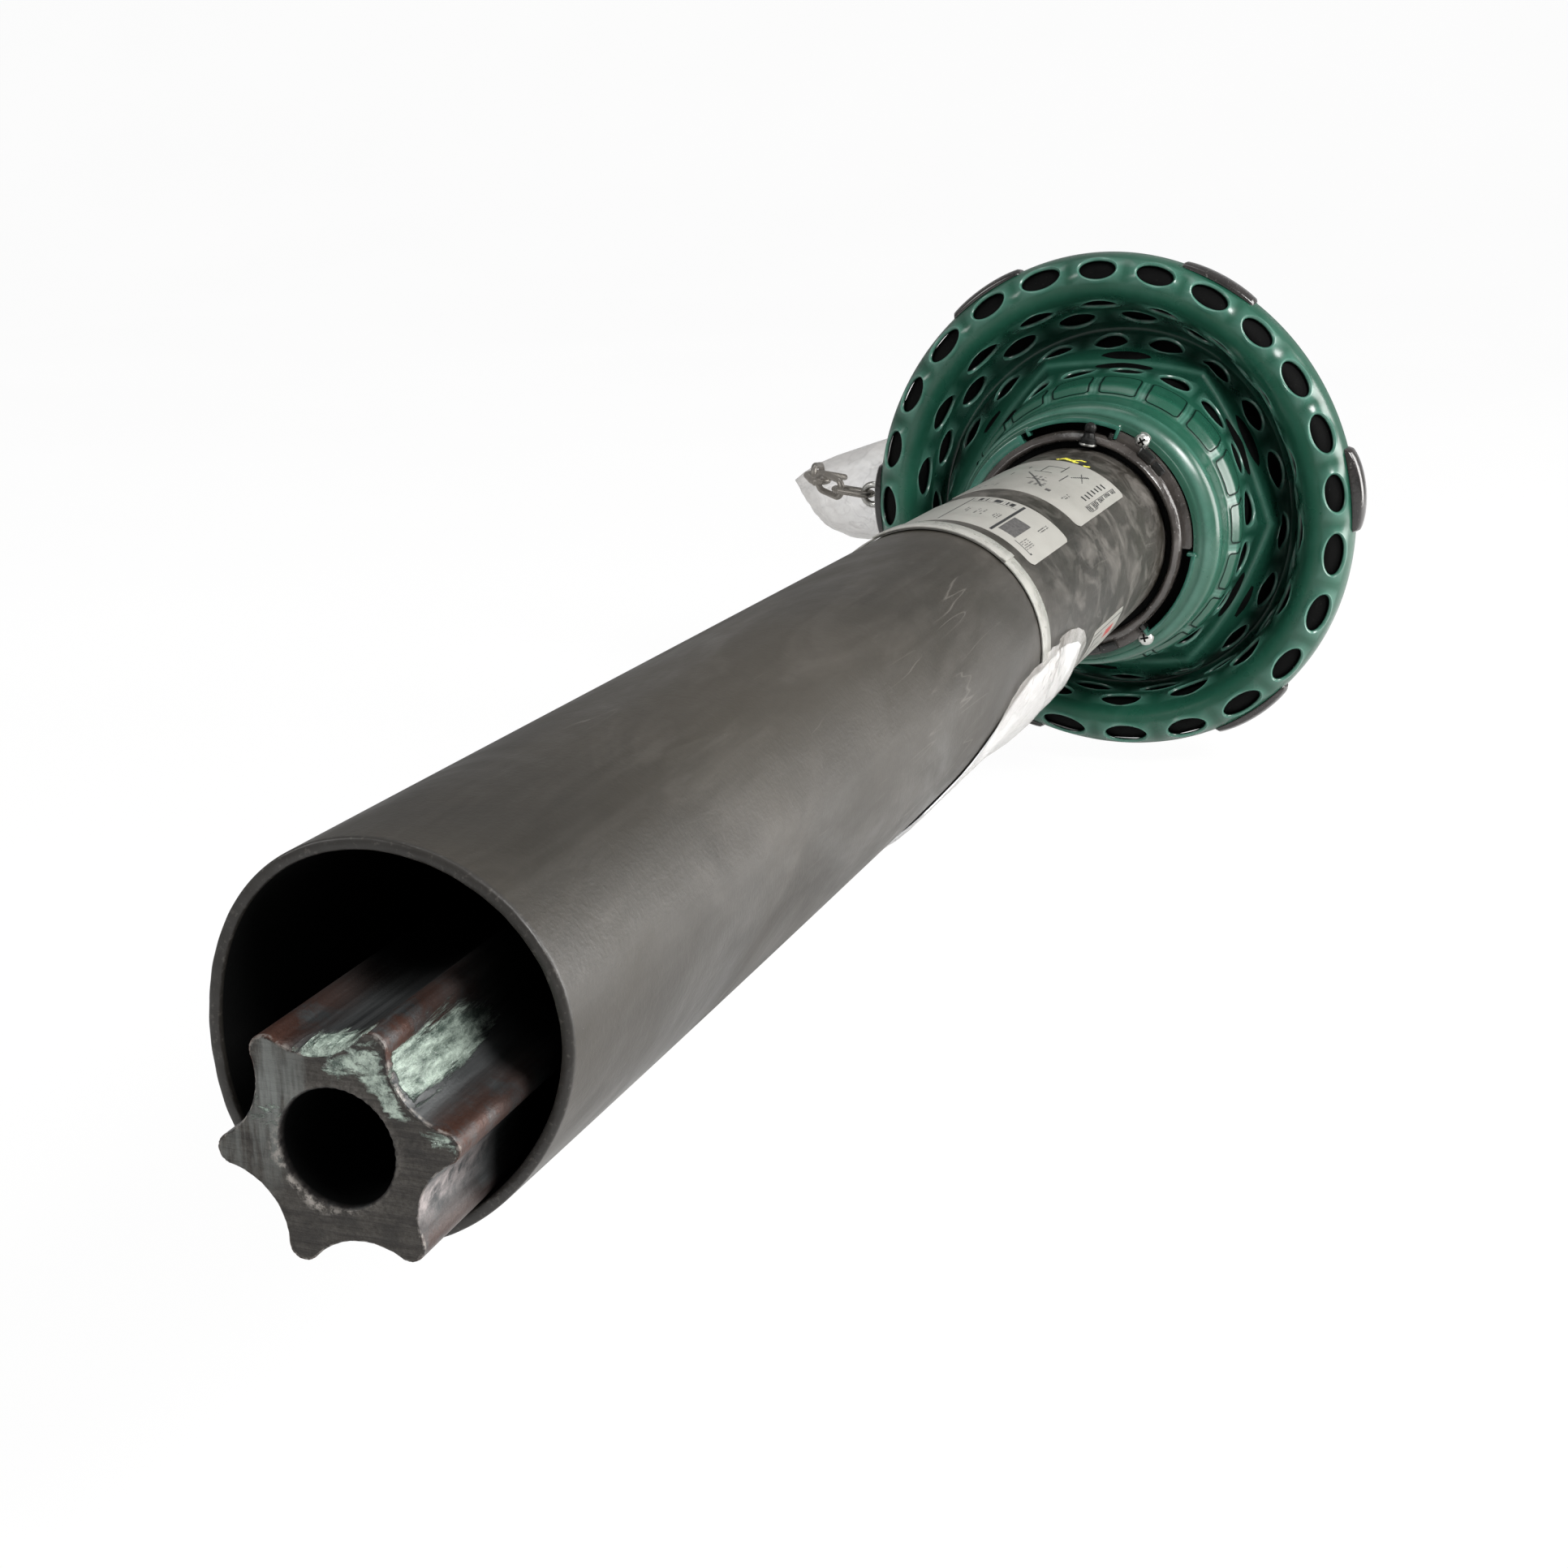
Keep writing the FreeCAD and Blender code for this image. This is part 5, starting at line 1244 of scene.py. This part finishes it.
def build_collar_blocks():
    materials = {"collar_latches": "black", "collar_lands": "worn", "green_land": "rail",
                 "window_rails": "rail"}
    end_shrink = 0.86
    shells = {name: Shell() for name in materials}
    for k in range(3):
        screw = SCREW_DEG + 120 * k
        for name, near, far, low, high, start, stop, count, corner in COLLAR_BLOCKS:
            if name == "collar_lands" and k == 2:
                name = "green_land"
            outline = rounded([(near, low), (near, high), (far, high), (far, low)], corner, 3)
            middle = outline.mean(0)
            sections = []
            for i, deg in enumerate(np.linspace(screw + start, screw + stop, count)):
                size = 1.0 if 0 < i < count - 1 else end_shrink
                station, radius = (middle + (outline - middle) * size).T
                section = polar(station, radius, deg)
                if name == "window_rails":
                    section = soften(section, 0.0, deg)
                sections.append(section)
            shells[name].sweep(sections)
    for name, key in materials.items():
        shells[name].make(name, MAT[key], auto=40)


build_collar_blocks()


def add_lathed(shell, centre, axis, profile, count):
    """Outline of (height, radius) turned about an axis through a guard point."""
    axis = Vector(axis).normalized()
    first = axis.orthogonal().normalized()
    second = np.array(axis.cross(first))
    axis, first = np.array(axis), np.array(first)
    points = []
    for angle in np.radians(turn(count)):
        out = first * math.cos(angle) + second * math.sin(angle)
        points += [centre + axis * height + out * radius for height, radius in profile]
    shell.add(points, grid_faces(count, len(profile), True, False))


def build_screws():
    """Domed screw heads, with cross recesses as dark bars a hair clear of each head."""
    places = ((122.0, 48.9), (232.0, 49.4), (352.0, 48.4))      # degrees, radius
    # one bar of the cross: along, across, height toward the free end
    bar = [(-1.7, -0.38, 1.92), (1.7, -0.38, 1.92), (1.7, 0.38, 1.92), (-1.7, 0.38, 1.92),
           (-0.8, -0.38, 2.24), (0.8, -0.38, 2.24), (0.8, 0.38, 2.24), (-0.8, 0.38, 2.24),
           (-1.7, -0.38, 1.2), (1.7, -0.38, 1.2), (1.7, 0.38, 1.2), (-1.7, 0.38, 1.2)]
    bar_faces = [(0, 4, 7, 3), (4, 5, 6, 7), (5, 1, 2, 6), (0, 1, 5, 4), (3, 7, 6, 2),
                 (8, 9, 1, 0), (10, 11, 3, 2), (9, 10, 2, 1), (11, 8, 0, 3), (8, 11, 10, 9)]
    dome = [(max(2.9 * math.cos(t) - 0.35, 0.0) * 0.85, 3.15 * math.sin(t))
            for t in np.linspace(0.02, math.pi / 2, 9)]
    profile = dome + [(-0.9, 3.15), (-0.9, 3.5), (-1.4, 3.6), (-3.0, 3.6), (-3.0, 0.02)]
    heads, slot_shade = Shell(), Shell()
    for deg, radius in places:
        centre = soften(polar(579.6, radius, deg), 0.0, deg)
        add_lathed(heads, centre, (-1, 0.0, 0.0), profile, 40)
        for quarter in (0, 90):
            a = math.radians(deg + 25 + quarter)
            length = np.array([0, math.cos(a), math.sin(a)])
            width = np.array([0, -math.sin(a), math.cos(a)])
            slot_shade.add([centre + length * x + width * y + np.array([-z, 0, 0])
                       for x, y, z in bar], bar_faces)
    heads.make("screw_heads", MAT["zinc"], replaces="collar_screws", auto=35)
    slot_shade.make("screw_slot_shade", MAT["shade_black"], smooth=False)


build_screws()


def build_nipple():
    """Domed screw heads, with the cross recesses as near-black bars a hair clear of each head: painted
    shade for the recesses.
    """
    deg = 97.8
    centre = polar(574.6, 41.4, deg)
    axis = (0.0, math.cos(math.radians(deg)), math.sin(math.radians(deg)))
    ball_at, ball_r = 5.7, 2.45
    profile = [(-1.5, 0.02), (-1.5, 3.3), (1.2, 3.3), (1.7, 2.9), (2.0, 2.5), (3.2, 2.3),
               (3.9, 1.9)]
    profile += [(ball_at - ball_r * math.cos(t), ball_r * math.sin(t))
                for t in np.linspace(0.75, math.pi - 0.02, 11)]
    collar = [(-1.2, 3.32), (-1.2, 3.5), (-0.8, 3.6), (-0.4, 3.5), (-0.4, 3.32)]
    for name, outline, key, replaces in (("nipple_skin", profile, "cap", "ring_grease_nipple"),
                                         ("nipple_collar", collar, "zinc", None)):
        shell = Shell()
        add_lathed(shell, centre, axis, outline, 36)
        shell.make(name, MAT[key], replaces=replaces, auto=35)


build_nipple()

# ------------------------------------------------------ labels and print ----
LABEL_R = TUBE_R + 0.03
LABEL_THICK = 0.12
INK_R = TUBE_R + 0.155
# name, replaced piece, stations, degrees, rows, columns, corner radius, lifted edges
LABELS = [
    ("data_label_skin", "data_label", 455, 537, 60, 138, 28, 90, 3.0, True),
    ("barcode_label_skin", "barcode_label", 380, 434, 62, 140.5, 20, 90, 3.0, True),
    ("sticker_skin", "plain_sticker", 450, 502, 196, 232, 16, 40, 1.5, False),
]


def round_corner(x, y, width, height, corner):
    """Move a point of a rectangle onto its rounded outline near a corner."""
    in_x = corner - min(x, width - x)
    in_y = corner - min(y, height - y)
    if in_x > 0 and in_y > 0:
        pull = max(in_x, in_y) / math.hypot(in_x, in_y)
        new_x, new_y = corner - in_x * pull, corner - in_y * pull
        x = new_x if x <= width / 2 else width - new_x
        y = new_y if y <= height / 2 else height - new_y
    return x, y


for name, replaces, near, far, low, high, rows, cols, corner, lifted in LABELS:
    width, height = far - near, math.radians(high - low) * TUBE_R
    x, y = np.array([round_corner(u * width, v * height, width, height, corner)
                     for u in np.linspace(0, 1, rows) for v in np.linspace(0, 1, cols)]).T
    station, deg = near + x, low + np.degrees(y / TUBE_R)
    u, v = x / width, y / height
    lift = lifted * (0.25 * bell(1 - v, 0.03) * (0.5 + 0.5 * np.sin(u * 9 + 1))
                     + 0.2 * bell(v, 0.02))
    radius = LABEL_R + lift + crush(station, deg)
    shell = Shell()
    shell.add(np.concatenate([polar(station, radius + LABEL_THICK, deg),
                              polar(station, radius, deg)]), sheet_faces(rows, cols))
    shell.make(name, MAT["label"], replaces=replaces, auto=50)

PRINT = {"ink": Shell(), "grey_ink": Shell(), "red_ink": Shell()}


def bars(key, entries):
    """Printed bars: stations from and to, degrees from and to."""
    for near, far, low, high in entries:
        cols = max(2, int(abs(high - low) / 1.5) + 2)
        station, deg = np.meshgrid([near, far], np.linspace(low, high, cols), indexing="ij")
        top = polar(station, INK_R + crush(station, deg), deg)
        bottom = polar(station, INK_R - 0.04, deg)
        PRINT[key].add(np.concatenate([top, bottom]), sheet_faces(2, cols, flip_rim=True))


def dashes(key, near, far, low, high, rows, seed, fill=0.6):
    """Rows of short strokes standing in for small print."""
    rng = np.random.RandomState(seed)
    for k in range(rows):
        start = low + (high - low) * k / rows
        stop = start + (high - low) / rows * 0.5
        station = near
        while station < far:
            width = rng.uniform(0.4, 1.3)
            if rng.rand() < fill:
                bars(key, [(station, min(station + width, far), start, stop)])
            station += width + 0.3


# barcode label: two rules across it, blocks toward the cone, a grey panel, small print
bars("ink", [(383, 431, 84.2, 84.9), (383, 431.5, 111.0, 112.6), (425, 430.5, 88.5, 90.5),
             (425, 430.5, 92.2, 93.0), (425, 430.5, 96.5, 100.5), (425, 430.5, 103.0, 104.0),
             (425, 430.5, 105.0, 107.5), (423.2, 423.7, 86, 110)])
bars("grey_ink", [(424.2, 430.6, 86.2 + i * 2.6, 86.4 + i * 2.6) for i in range(9)])
dashes("grey_ink", 400, 409, 90, 93, rows=2, seed=5)
dashes("grey_ink", 399, 409, 96, 101, rows=3, seed=6)
dashes("ink", 400, 408, 105, 109, rows=3, seed=7)
bars("grey_ink", [(389, 412, 113.6, 123.5)])
dashes("ink", 412, 426, 127.0, 129.6, rows=2, seed=8, fill=0.75)
dashes("grey_ink", 388, 398, 127.0, 133.0, rows=5, seed=9, fill=0.7)
bars("ink", [(386.5, 387.2, 124.5, 134.5), (386.5, 388.5, 134.6, 136.0)])
# data label: a row of marks, a row of figures' places between rules, a line drawing
bars("ink", [(488.6 + k * 5.6, 490.6 + k * 5.6, 124.2 + 0.35 * math.sin(k * 2.2),
              127.9 + 0.35 * math.sin(k * 1.3)) for k in range(7)])
for k in range(22):
    if k % 5 != 3:
        station = 481.8 + k * 2.25
        bars("ink", [(station, 483.2 + k * 2.25, 131.0, 134.9),
                     (station, 483.9 + k * 2.25, 131.0 + 1.3 * (k % 3), 131.6 + 1.3 * (k % 3))])
bars("grey_ink", [(481.2, 531.5, 130.4, 130.8), (481.2, 531.5, 135.0, 135.4)])
bars("ink", [(500 - k * 1.9, 502.0 - k * 1.9, 88 + k * 1.15, 88.9 + k * 1.2) for k in range(14)])
bars("ink", [(505, 521, 93.0, 93.6), (505, 506, 90, 100), (520, 521, 93, 103),
             (511, 527, 103.0, 103.6), (494, 510, 108.0, 108.6), (486, 487, 92, 104),
             (512, 517, 84, 84.7), (497, 503, 79, 79.7)])
for k in range(9):
    near, far = 508 + k * 1.5, 509.4 + k * 1.5
    bars("ink", [(near, far, 110.5 + k * 0.7, 111.3 + k * 0.8),
                 (near, far, 117.2 - k * 0.6, 117.8 - k * 0.6)])
dashes("grey_ink", 486, 494, 95, 103, rows=3, seed=14)
dashes("grey_ink", 474, 482, 97, 107, rows=3, seed=15)
bars("grey_ink", [(470.5, 474.5, 108, 111)])
dashes("grey_ink", 466, 472, 72, 84, rows=4, seed=18)
dashes("ink", 470, 481, 118.5, 121.5, rows=2, seed=21)
# plain sticker: a red band and dark rules
bars("red_ink", [(478, 492, 203.5, 209.5)])
bars("ink", [(452, 500, 199.2, 199.9), (455, 470, 202.5, 203.4), (455, 457, 203, 222)])
bars("grey_ink", [(462, 474, 209.5, 210.6)])
for key, shell in PRINT.items():
    shell.make("print_" + key, MAT[key], smooth=False)


def build_chalk():
    """Chalk scribble near the collar, as small ragged crumbs along three lines."""
    sides = 6
    lines = [(np.linspace(541, 547, 26) + 1.4 * np.sin(np.linspace(0, 9, 26)),
              np.linspace(91, 105, 26)),
             (np.linspace(546, 540.5, 20) + 0.8 * np.sin(np.linspace(0, 14, 20)),
              np.linspace(94, 103, 20)),
             (np.linspace(538.5, 541, 8), np.linspace(108, 110.5, 8))]
    faces = [(i, (i + 1) % sides, sides) for i in range(sides)] + [tuple(range(sides))[::-1]]
    rng = np.random.RandomState(4)
    shell = Shell()
    for stations, degrees in lines:
        for station, deg in zip(np.repeat(stations, 3), np.repeat(degrees, 3)):
            station += rng.normal(0, 0.4)
            deg += rng.normal(0, 0.35)
            size = rng.uniform(0.3, 0.75)
            crumb = []
            for i in range(sides):
                angle = 2 * math.pi * i / sides
                reach = size * rng.uniform(0.6, 1.2)
                crumb.append(polar(station + reach * math.cos(angle), TUBE_R + 0.03,
                                   deg + math.degrees(reach * math.sin(angle) / TUBE_R)))
            crumb.append(polar(station, TUBE_R + 0.16, deg))
            shell.add(crumb, faces)
    shell.make("chalk_marks", MAT["chalk"], smooth=False)


build_chalk()


# --------------------------------------------------------- packing strap ----
def build_strap():
    """Strap round the tube, with a second layer over part of it."""
    near, far, thick = 358.2, 369.0, 0.62
    station, height = rounded([(near, 0.0), (near, thick), (far, thick), (far, 0.0)], 0.25, 3).T

    def wander(deg):
        return 0.5 * math.sin(math.radians(deg * 2 + 30)) + 0.25 * math.sin(math.radians(deg * 7))

    def base_radius(deg):
        """The strap stands a little proud of the tube in places."""
        return TUBE_R + 0.06 + 0.12 * math.sin(math.radians(deg * 3 + 20)) ** 2

    shell = Shell()
    cupped = height + 0.10 * ((station - (near + far) / 2) / 5.4) ** 2
    shell.sweep([polar(station + wander(deg), base_radius(deg) + cupped + crush(station, deg), deg)
                 for deg in turn(300)], ring=True)
    # the lap ends in a square cut, its last sections standing up
    shell.sweep([polar(station - 0.9 + wander(deg),
                       base_radius(deg) + 0.74 + height + (0.25 if i > 56 else 0), deg)
                 for i, deg in enumerate(np.linspace(62, 131.5, 60))])
    shell.make("strap_skin", MAT["strap"], replaces="packing_strap", auto=50)


build_strap()

# ------------------------------------------------------- document sleeve ----
# edge lines of the sheet and its sleeve: station, degrees
SHEET_EDGES = ([(256, 221), (284, 214), (303, 202), (315, 196), (327, 191.5), (346, 187.0),
                (357, 185.6), (372, 184.6), (396, 186.0), (414, 190), (421, 194)],
               [(250, 244), (300, 246), (360, 246), (421, 243)])
SLEEVE_EDGES = ([(248, 223), (272, 217), (290, 210), (301.5, 200.5), (308.7, 194.6),
                 (317.7, 188.8), (328.4, 184.2), (349.5, 181.2), (357.5, 179.2), (366, 178.2),
                 (381, 178.4), (398, 179.2), (410, 181.6), (420, 186.0), (430, 195)],
                [(240, 246), (300, 248), (360, 248), (431, 244)])
# creases in the film: waves along the station, round the angle, and their phase
CREASES = ((0.21, 0.33, 0.3), (-0.34, 0.25, 1.7), (0.12, -0.47, 2.9), (0.45, 0.52, 0.8))
MM_PER_DEG = 0.66


def paper_radius(station, deg):
    """Snug toward the free end, standing off over the strap and beyond."""
    over = ease((station - 344) / 12.0) * ease((382 - station) / 8.0) * 0.95
    puff = (1.75 * ease((station - 322) / 55.0) * ease((432 - station) / 18.0)
            * ease((deg - 190) / 26.0))
    ripple = 0.10 * np.sin(station * 0.10 + deg * 0.12) + 0.05 * np.sin(station * 0.27 - deg * 0.2)
    return (38.45 + np.maximum(over, puff) + 0.25 * np.minimum(over, puff)
            + ripple * ease((station - 300) / 40.0))


def film_radius(station, deg):
    crease = sum(np.abs(np.sin(station * a + deg * b + phase)) ** 3 for a, b, phase in CREASES)
    loose = (ease((station - 322) / 20.0) * ease((392 - station) / 22.0)
             * ease((205 - deg) / 16.0))
    return paper_radius(station, deg) + 0.42 + 0.32 * crease * loose + 0.05 * crease


def build_draped(name, edges, material, replaces, radius_at, thick, rows, cols):
    """Sheet lying round the tube between two edge lines."""
    lines = []
    for edge in edges:
        edge = np.array(edge, float)
        lengths = run_lengths(edge * [1, MM_PER_DEG])
        lines.append(along(edge, lengths, np.linspace(0, 1, rows) * lengths[-1])[:, None])
    across = np.linspace(0, 1, cols)[None, :, None]
    spots = (lines[0] + (lines[1] - lines[0]) * across).reshape(-1, 2)
    station, deg = spots.T
    radius = radius_at(station, deg)
    shell = Shell()
    shell.add(np.concatenate([polar(station, radius + thick, deg), polar(station, radius, deg)]),
              sheet_faces(rows, cols))
    shell.make(name, material, replaces=replaces, auto=60)


build_draped("sheet_skin", SHEET_EDGES, MAT["sheet"], "manual_sheet", paper_radius,
             thick=0.35, rows=90, cols=44)
build_draped("sleeve_skin", SLEEVE_EDGES, MAT["film"], "document_pouch", film_radius,
             thick=0.14, rows=130, cols=60)

# ------------------------------------------------------------- chain bag ----
# outline of the bag seen along the axis: Y, Z
BAG_OUTLINE = np.array([
    (162.4, 2.0), (158.0, 5.6), (150.5, 10.3), (142.5, 13.9), (134.2, 16.9), (125.0, 20.3),
    (117.5, 22.9), (112.6, 21.0), (111.0, 10.0), (110.6, -4.0), (111.6, -16.0), (115.0, -22.6),
    (122.0, -24.4), (129.8, -23.6), (138.0, -20.8), (146.2, -16.6), (153.0, -10.6),
    (158.9, -3.6)])
BAG_CENTRE = np.array([131.0, -1.5])
BAG_STATION = 702.0
BAG_DEPTHS = {-1: 34.0, 1: 38.0}            # toward the free end, away from it
# crumples: waves along Y and Z, phase, weight
CRUMPLES = ((0.30, 0.42, 0.5, 1.0), (-0.52, 0.33, 1.9, 0.8), (0.75, -0.28, 0.2, 0.6),
            (0.18, 0.95, 2.4, 0.6), (1.1, 0.7, 1.2, 0.35), (-0.9, 1.2, 3.0, 0.3))


def build_bag():
    """Crumpled clear bag: a pointed pillow of film round the chain."""
    rows, cols = 34, 168
    size = rows * cols
    closed = np.concatenate([BAG_OUTLINE, BAG_OUTLINE[:1]])
    lengths = run_lengths(closed)
    outline = along(closed, lengths, np.linspace(0, lengths[-1], cols, endpoint=False))
    points, faces = [], []
    for side, depth in BAG_DEPTHS.items():
        for i in range(rows):
            t = i / (rows - 1.0)
            spread = 0.03 + 0.97 * math.sin(t * math.pi / 2)
            y, z = (BAG_CENTRE + (outline - BAG_CENTRE) * spread).T
            height = depth * max(0.0, math.cos(t * math.pi / 2)) ** 0.75
            height = height * (1 - 0.55 * np.clip((y - 140) / 22.0, 0, 1))
            crumple = sum(
                weight * (np.abs(np.sin((y * a + z * b) * 0.62 + phase + side * 1.3)) ** 0.8 - 0.65)
                for a, b, phase, weight in CRUMPLES)
            crumple = 1.5 * crumple * (1 - t ** 4) * np.minimum(1, height / 6)
            points.append(np.stack([BAG_STATION + side * (height + crumple), y, z], -1))
        base = 0 if side < 0 else size
        faces += grid_faces(rows, cols, False, True, base, side > 0)
        faces.append(tuple(range(base, base + cols))[::side])
    faces += bridge(range(size - cols, size), range(2 * size - cols, 2 * size), flip=True)
    shell = Shell()
    shell.add(np.array(points), faces)
    shell.make("bag_skin", MAT["bag"], replaces="chain_bag", auto=70)


build_bag()


# ----------------------------------------------------------- environment ----
def floor_material():
    """White sweep to the camera's eye; lights the part as plain paper would."""
    m = Shader("pale_floor")
    cloud = m.noise(scale=3, detail=3, rough=0.5)
    m.surface(color=m.mix(cloud, (0.80, 0.80, 0.80), (0.84, 0.84, 0.84)), rough=0.85, spec=0.1)
    seen = m.node("LightPath").outputs["Is Camera Ray"]
    glow = m.node("Emission", Strength=1.03,
                  Color=m.mix(cloud, (0.985, 0.985, 0.985), (1.0, 1.0, 1.0)))
    blend = m.node("MixShader")
    for socket, value in zip(blend.inputs, (m.times(seen, 0.93), m.bsdf.outputs[0],
                                            glow.outputs[0])):
        m.feed(socket, value)
    m.feed(m.output.inputs[0], blend.outputs[0])
    return m.material


def build_floor():
    """Floor that curves up into a wall beyond the part, in metres."""
    gap, half_width, cols = 0.004, 6.0, 9
    # X, height above the floor
    sweep = [(-4.0, 0), (1.9, 0), (2.35, 0.04), (2.7, 0.16), (3.0, 0.42), (3.15, 0.8),
             (3.2, 1.3), (3.2, 3.6)]
    floor_z = CAD_BOX[0][2] - gap
    points = [(x, y, floor_z + z) for x, z in sweep
              for y in np.linspace(-half_width, half_width, cols)]
    mesh = bpy.data.meshes.new("floor")
    mesh.from_pydata(points, [], grid_faces(len(sweep), cols, flip=True))
    floor = bpy.data.objects.new("floor", mesh)
    scene.collection.objects.link(floor)
    mesh.polygons.foreach_set("use_smooth", [True] * len(mesh.polygons))
    mesh.materials.append(floor_material())


build_floor()


def build_world():
    """White world, dimmer as a light than as a backdrop."""
    as_light, as_backdrop = 0.29, 1.02
    world = bpy.data.worlds.new("studio")
    scene.world = world
    world.use_nodes = True
    tree = world.node_tree
    background = tree.nodes["Background"]
    background.inputs[0].default_value = (1, 1, 1, 1)
    path = tree.nodes.new("ShaderNodeLightPath")
    strength = tree.nodes.new("ShaderNodeMapRange")
    strength.inputs[3].default_value = as_light         # To Min
    strength.inputs[4].default_value = as_backdrop      # To Max
    tree.links.new(path.outputs["Is Camera Ray"], strength.inputs[0])
    tree.links.new(strength.outputs[0], background.inputs[1])


build_world()


def area(name, place, target, size, power, colour):
    """Rectangular light at a place in the row, aimed at a target."""
    light = bpy.data.lights.new(name, "AREA")
    light.energy = power
    light.color = colour
    light.shape = "RECTANGLE"
    light.size, light.size_y = size
    obj = bpy.data.objects.new(name, light)
    scene.collection.objects.link(obj)
    obj.location = place
    aim = Vector(target) - Vector(place)
    obj.rotation_euler = aim.to_track_quat("-Z", "Y").to_euler()


area("key", place=(0.30, -1.35, 0.28), target=(-0.35, 0, 0), size=(0.9, 1.2), power=27,
     colour=(1.0, 0.985, 0.965))
area("front", place=(-0.90, -1.05, 0.95), target=(-0.12, 0, 0.0), size=(0.45, 0.45), power=20,
     colour=(1.0, 0.995, 0.985))
area("top", place=(0.0, 0.1, 1.6), target=(-0.25, 0, 0), size=(0.9, 0.6), power=3,
     colour=(1, 1, 1))
area("fill", place=(-1.3, 0.9, 0.7), target=(-0.6, 0, 0), size=(0.5, 0.5), power=5.0,
     colour=(1.0, 0.99, 0.97))

# ---------------------------------------------------------------- camera ----
# place and directions in the guard frame
CAMERA_PLACE = (-341.83, -197.04, 155.35)
CAMERA_RIGHT = (0.33116, -0.94357, 0.0)
CAMERA_UP = (0.25239, 0.08858, 0.96356)
CAMERA_AHEAD = (0.90919, 0.31910, -0.26748)


def build_camera():
    lens = bpy.data.cameras.new("camera")
    lens.lens = 52.554
    lens.sensor_width = 36.0
    lens.sensor_fit = "HORIZONTAL"
    lens.clip_start = 0.01
    lens.clip_end = 50
    camera = bpy.data.objects.new("camera", lens)
    scene.collection.objects.link(camera)
    right, up, ahead = (TIP_TURN @ np.array(v) for v in (CAMERA_RIGHT, CAMERA_UP, CAMERA_AHEAD))
    pose = np.eye(4)
    pose[:3] = np.stack([right, up, -ahead, to_row(CAMERA_PLACE)], -1)
    camera.matrix_world = Matrix(pose.tolist())
    scene.camera = camera


build_camera()
scene.view_settings.view_transform = "Standard"
scene.view_settings.look = "None"
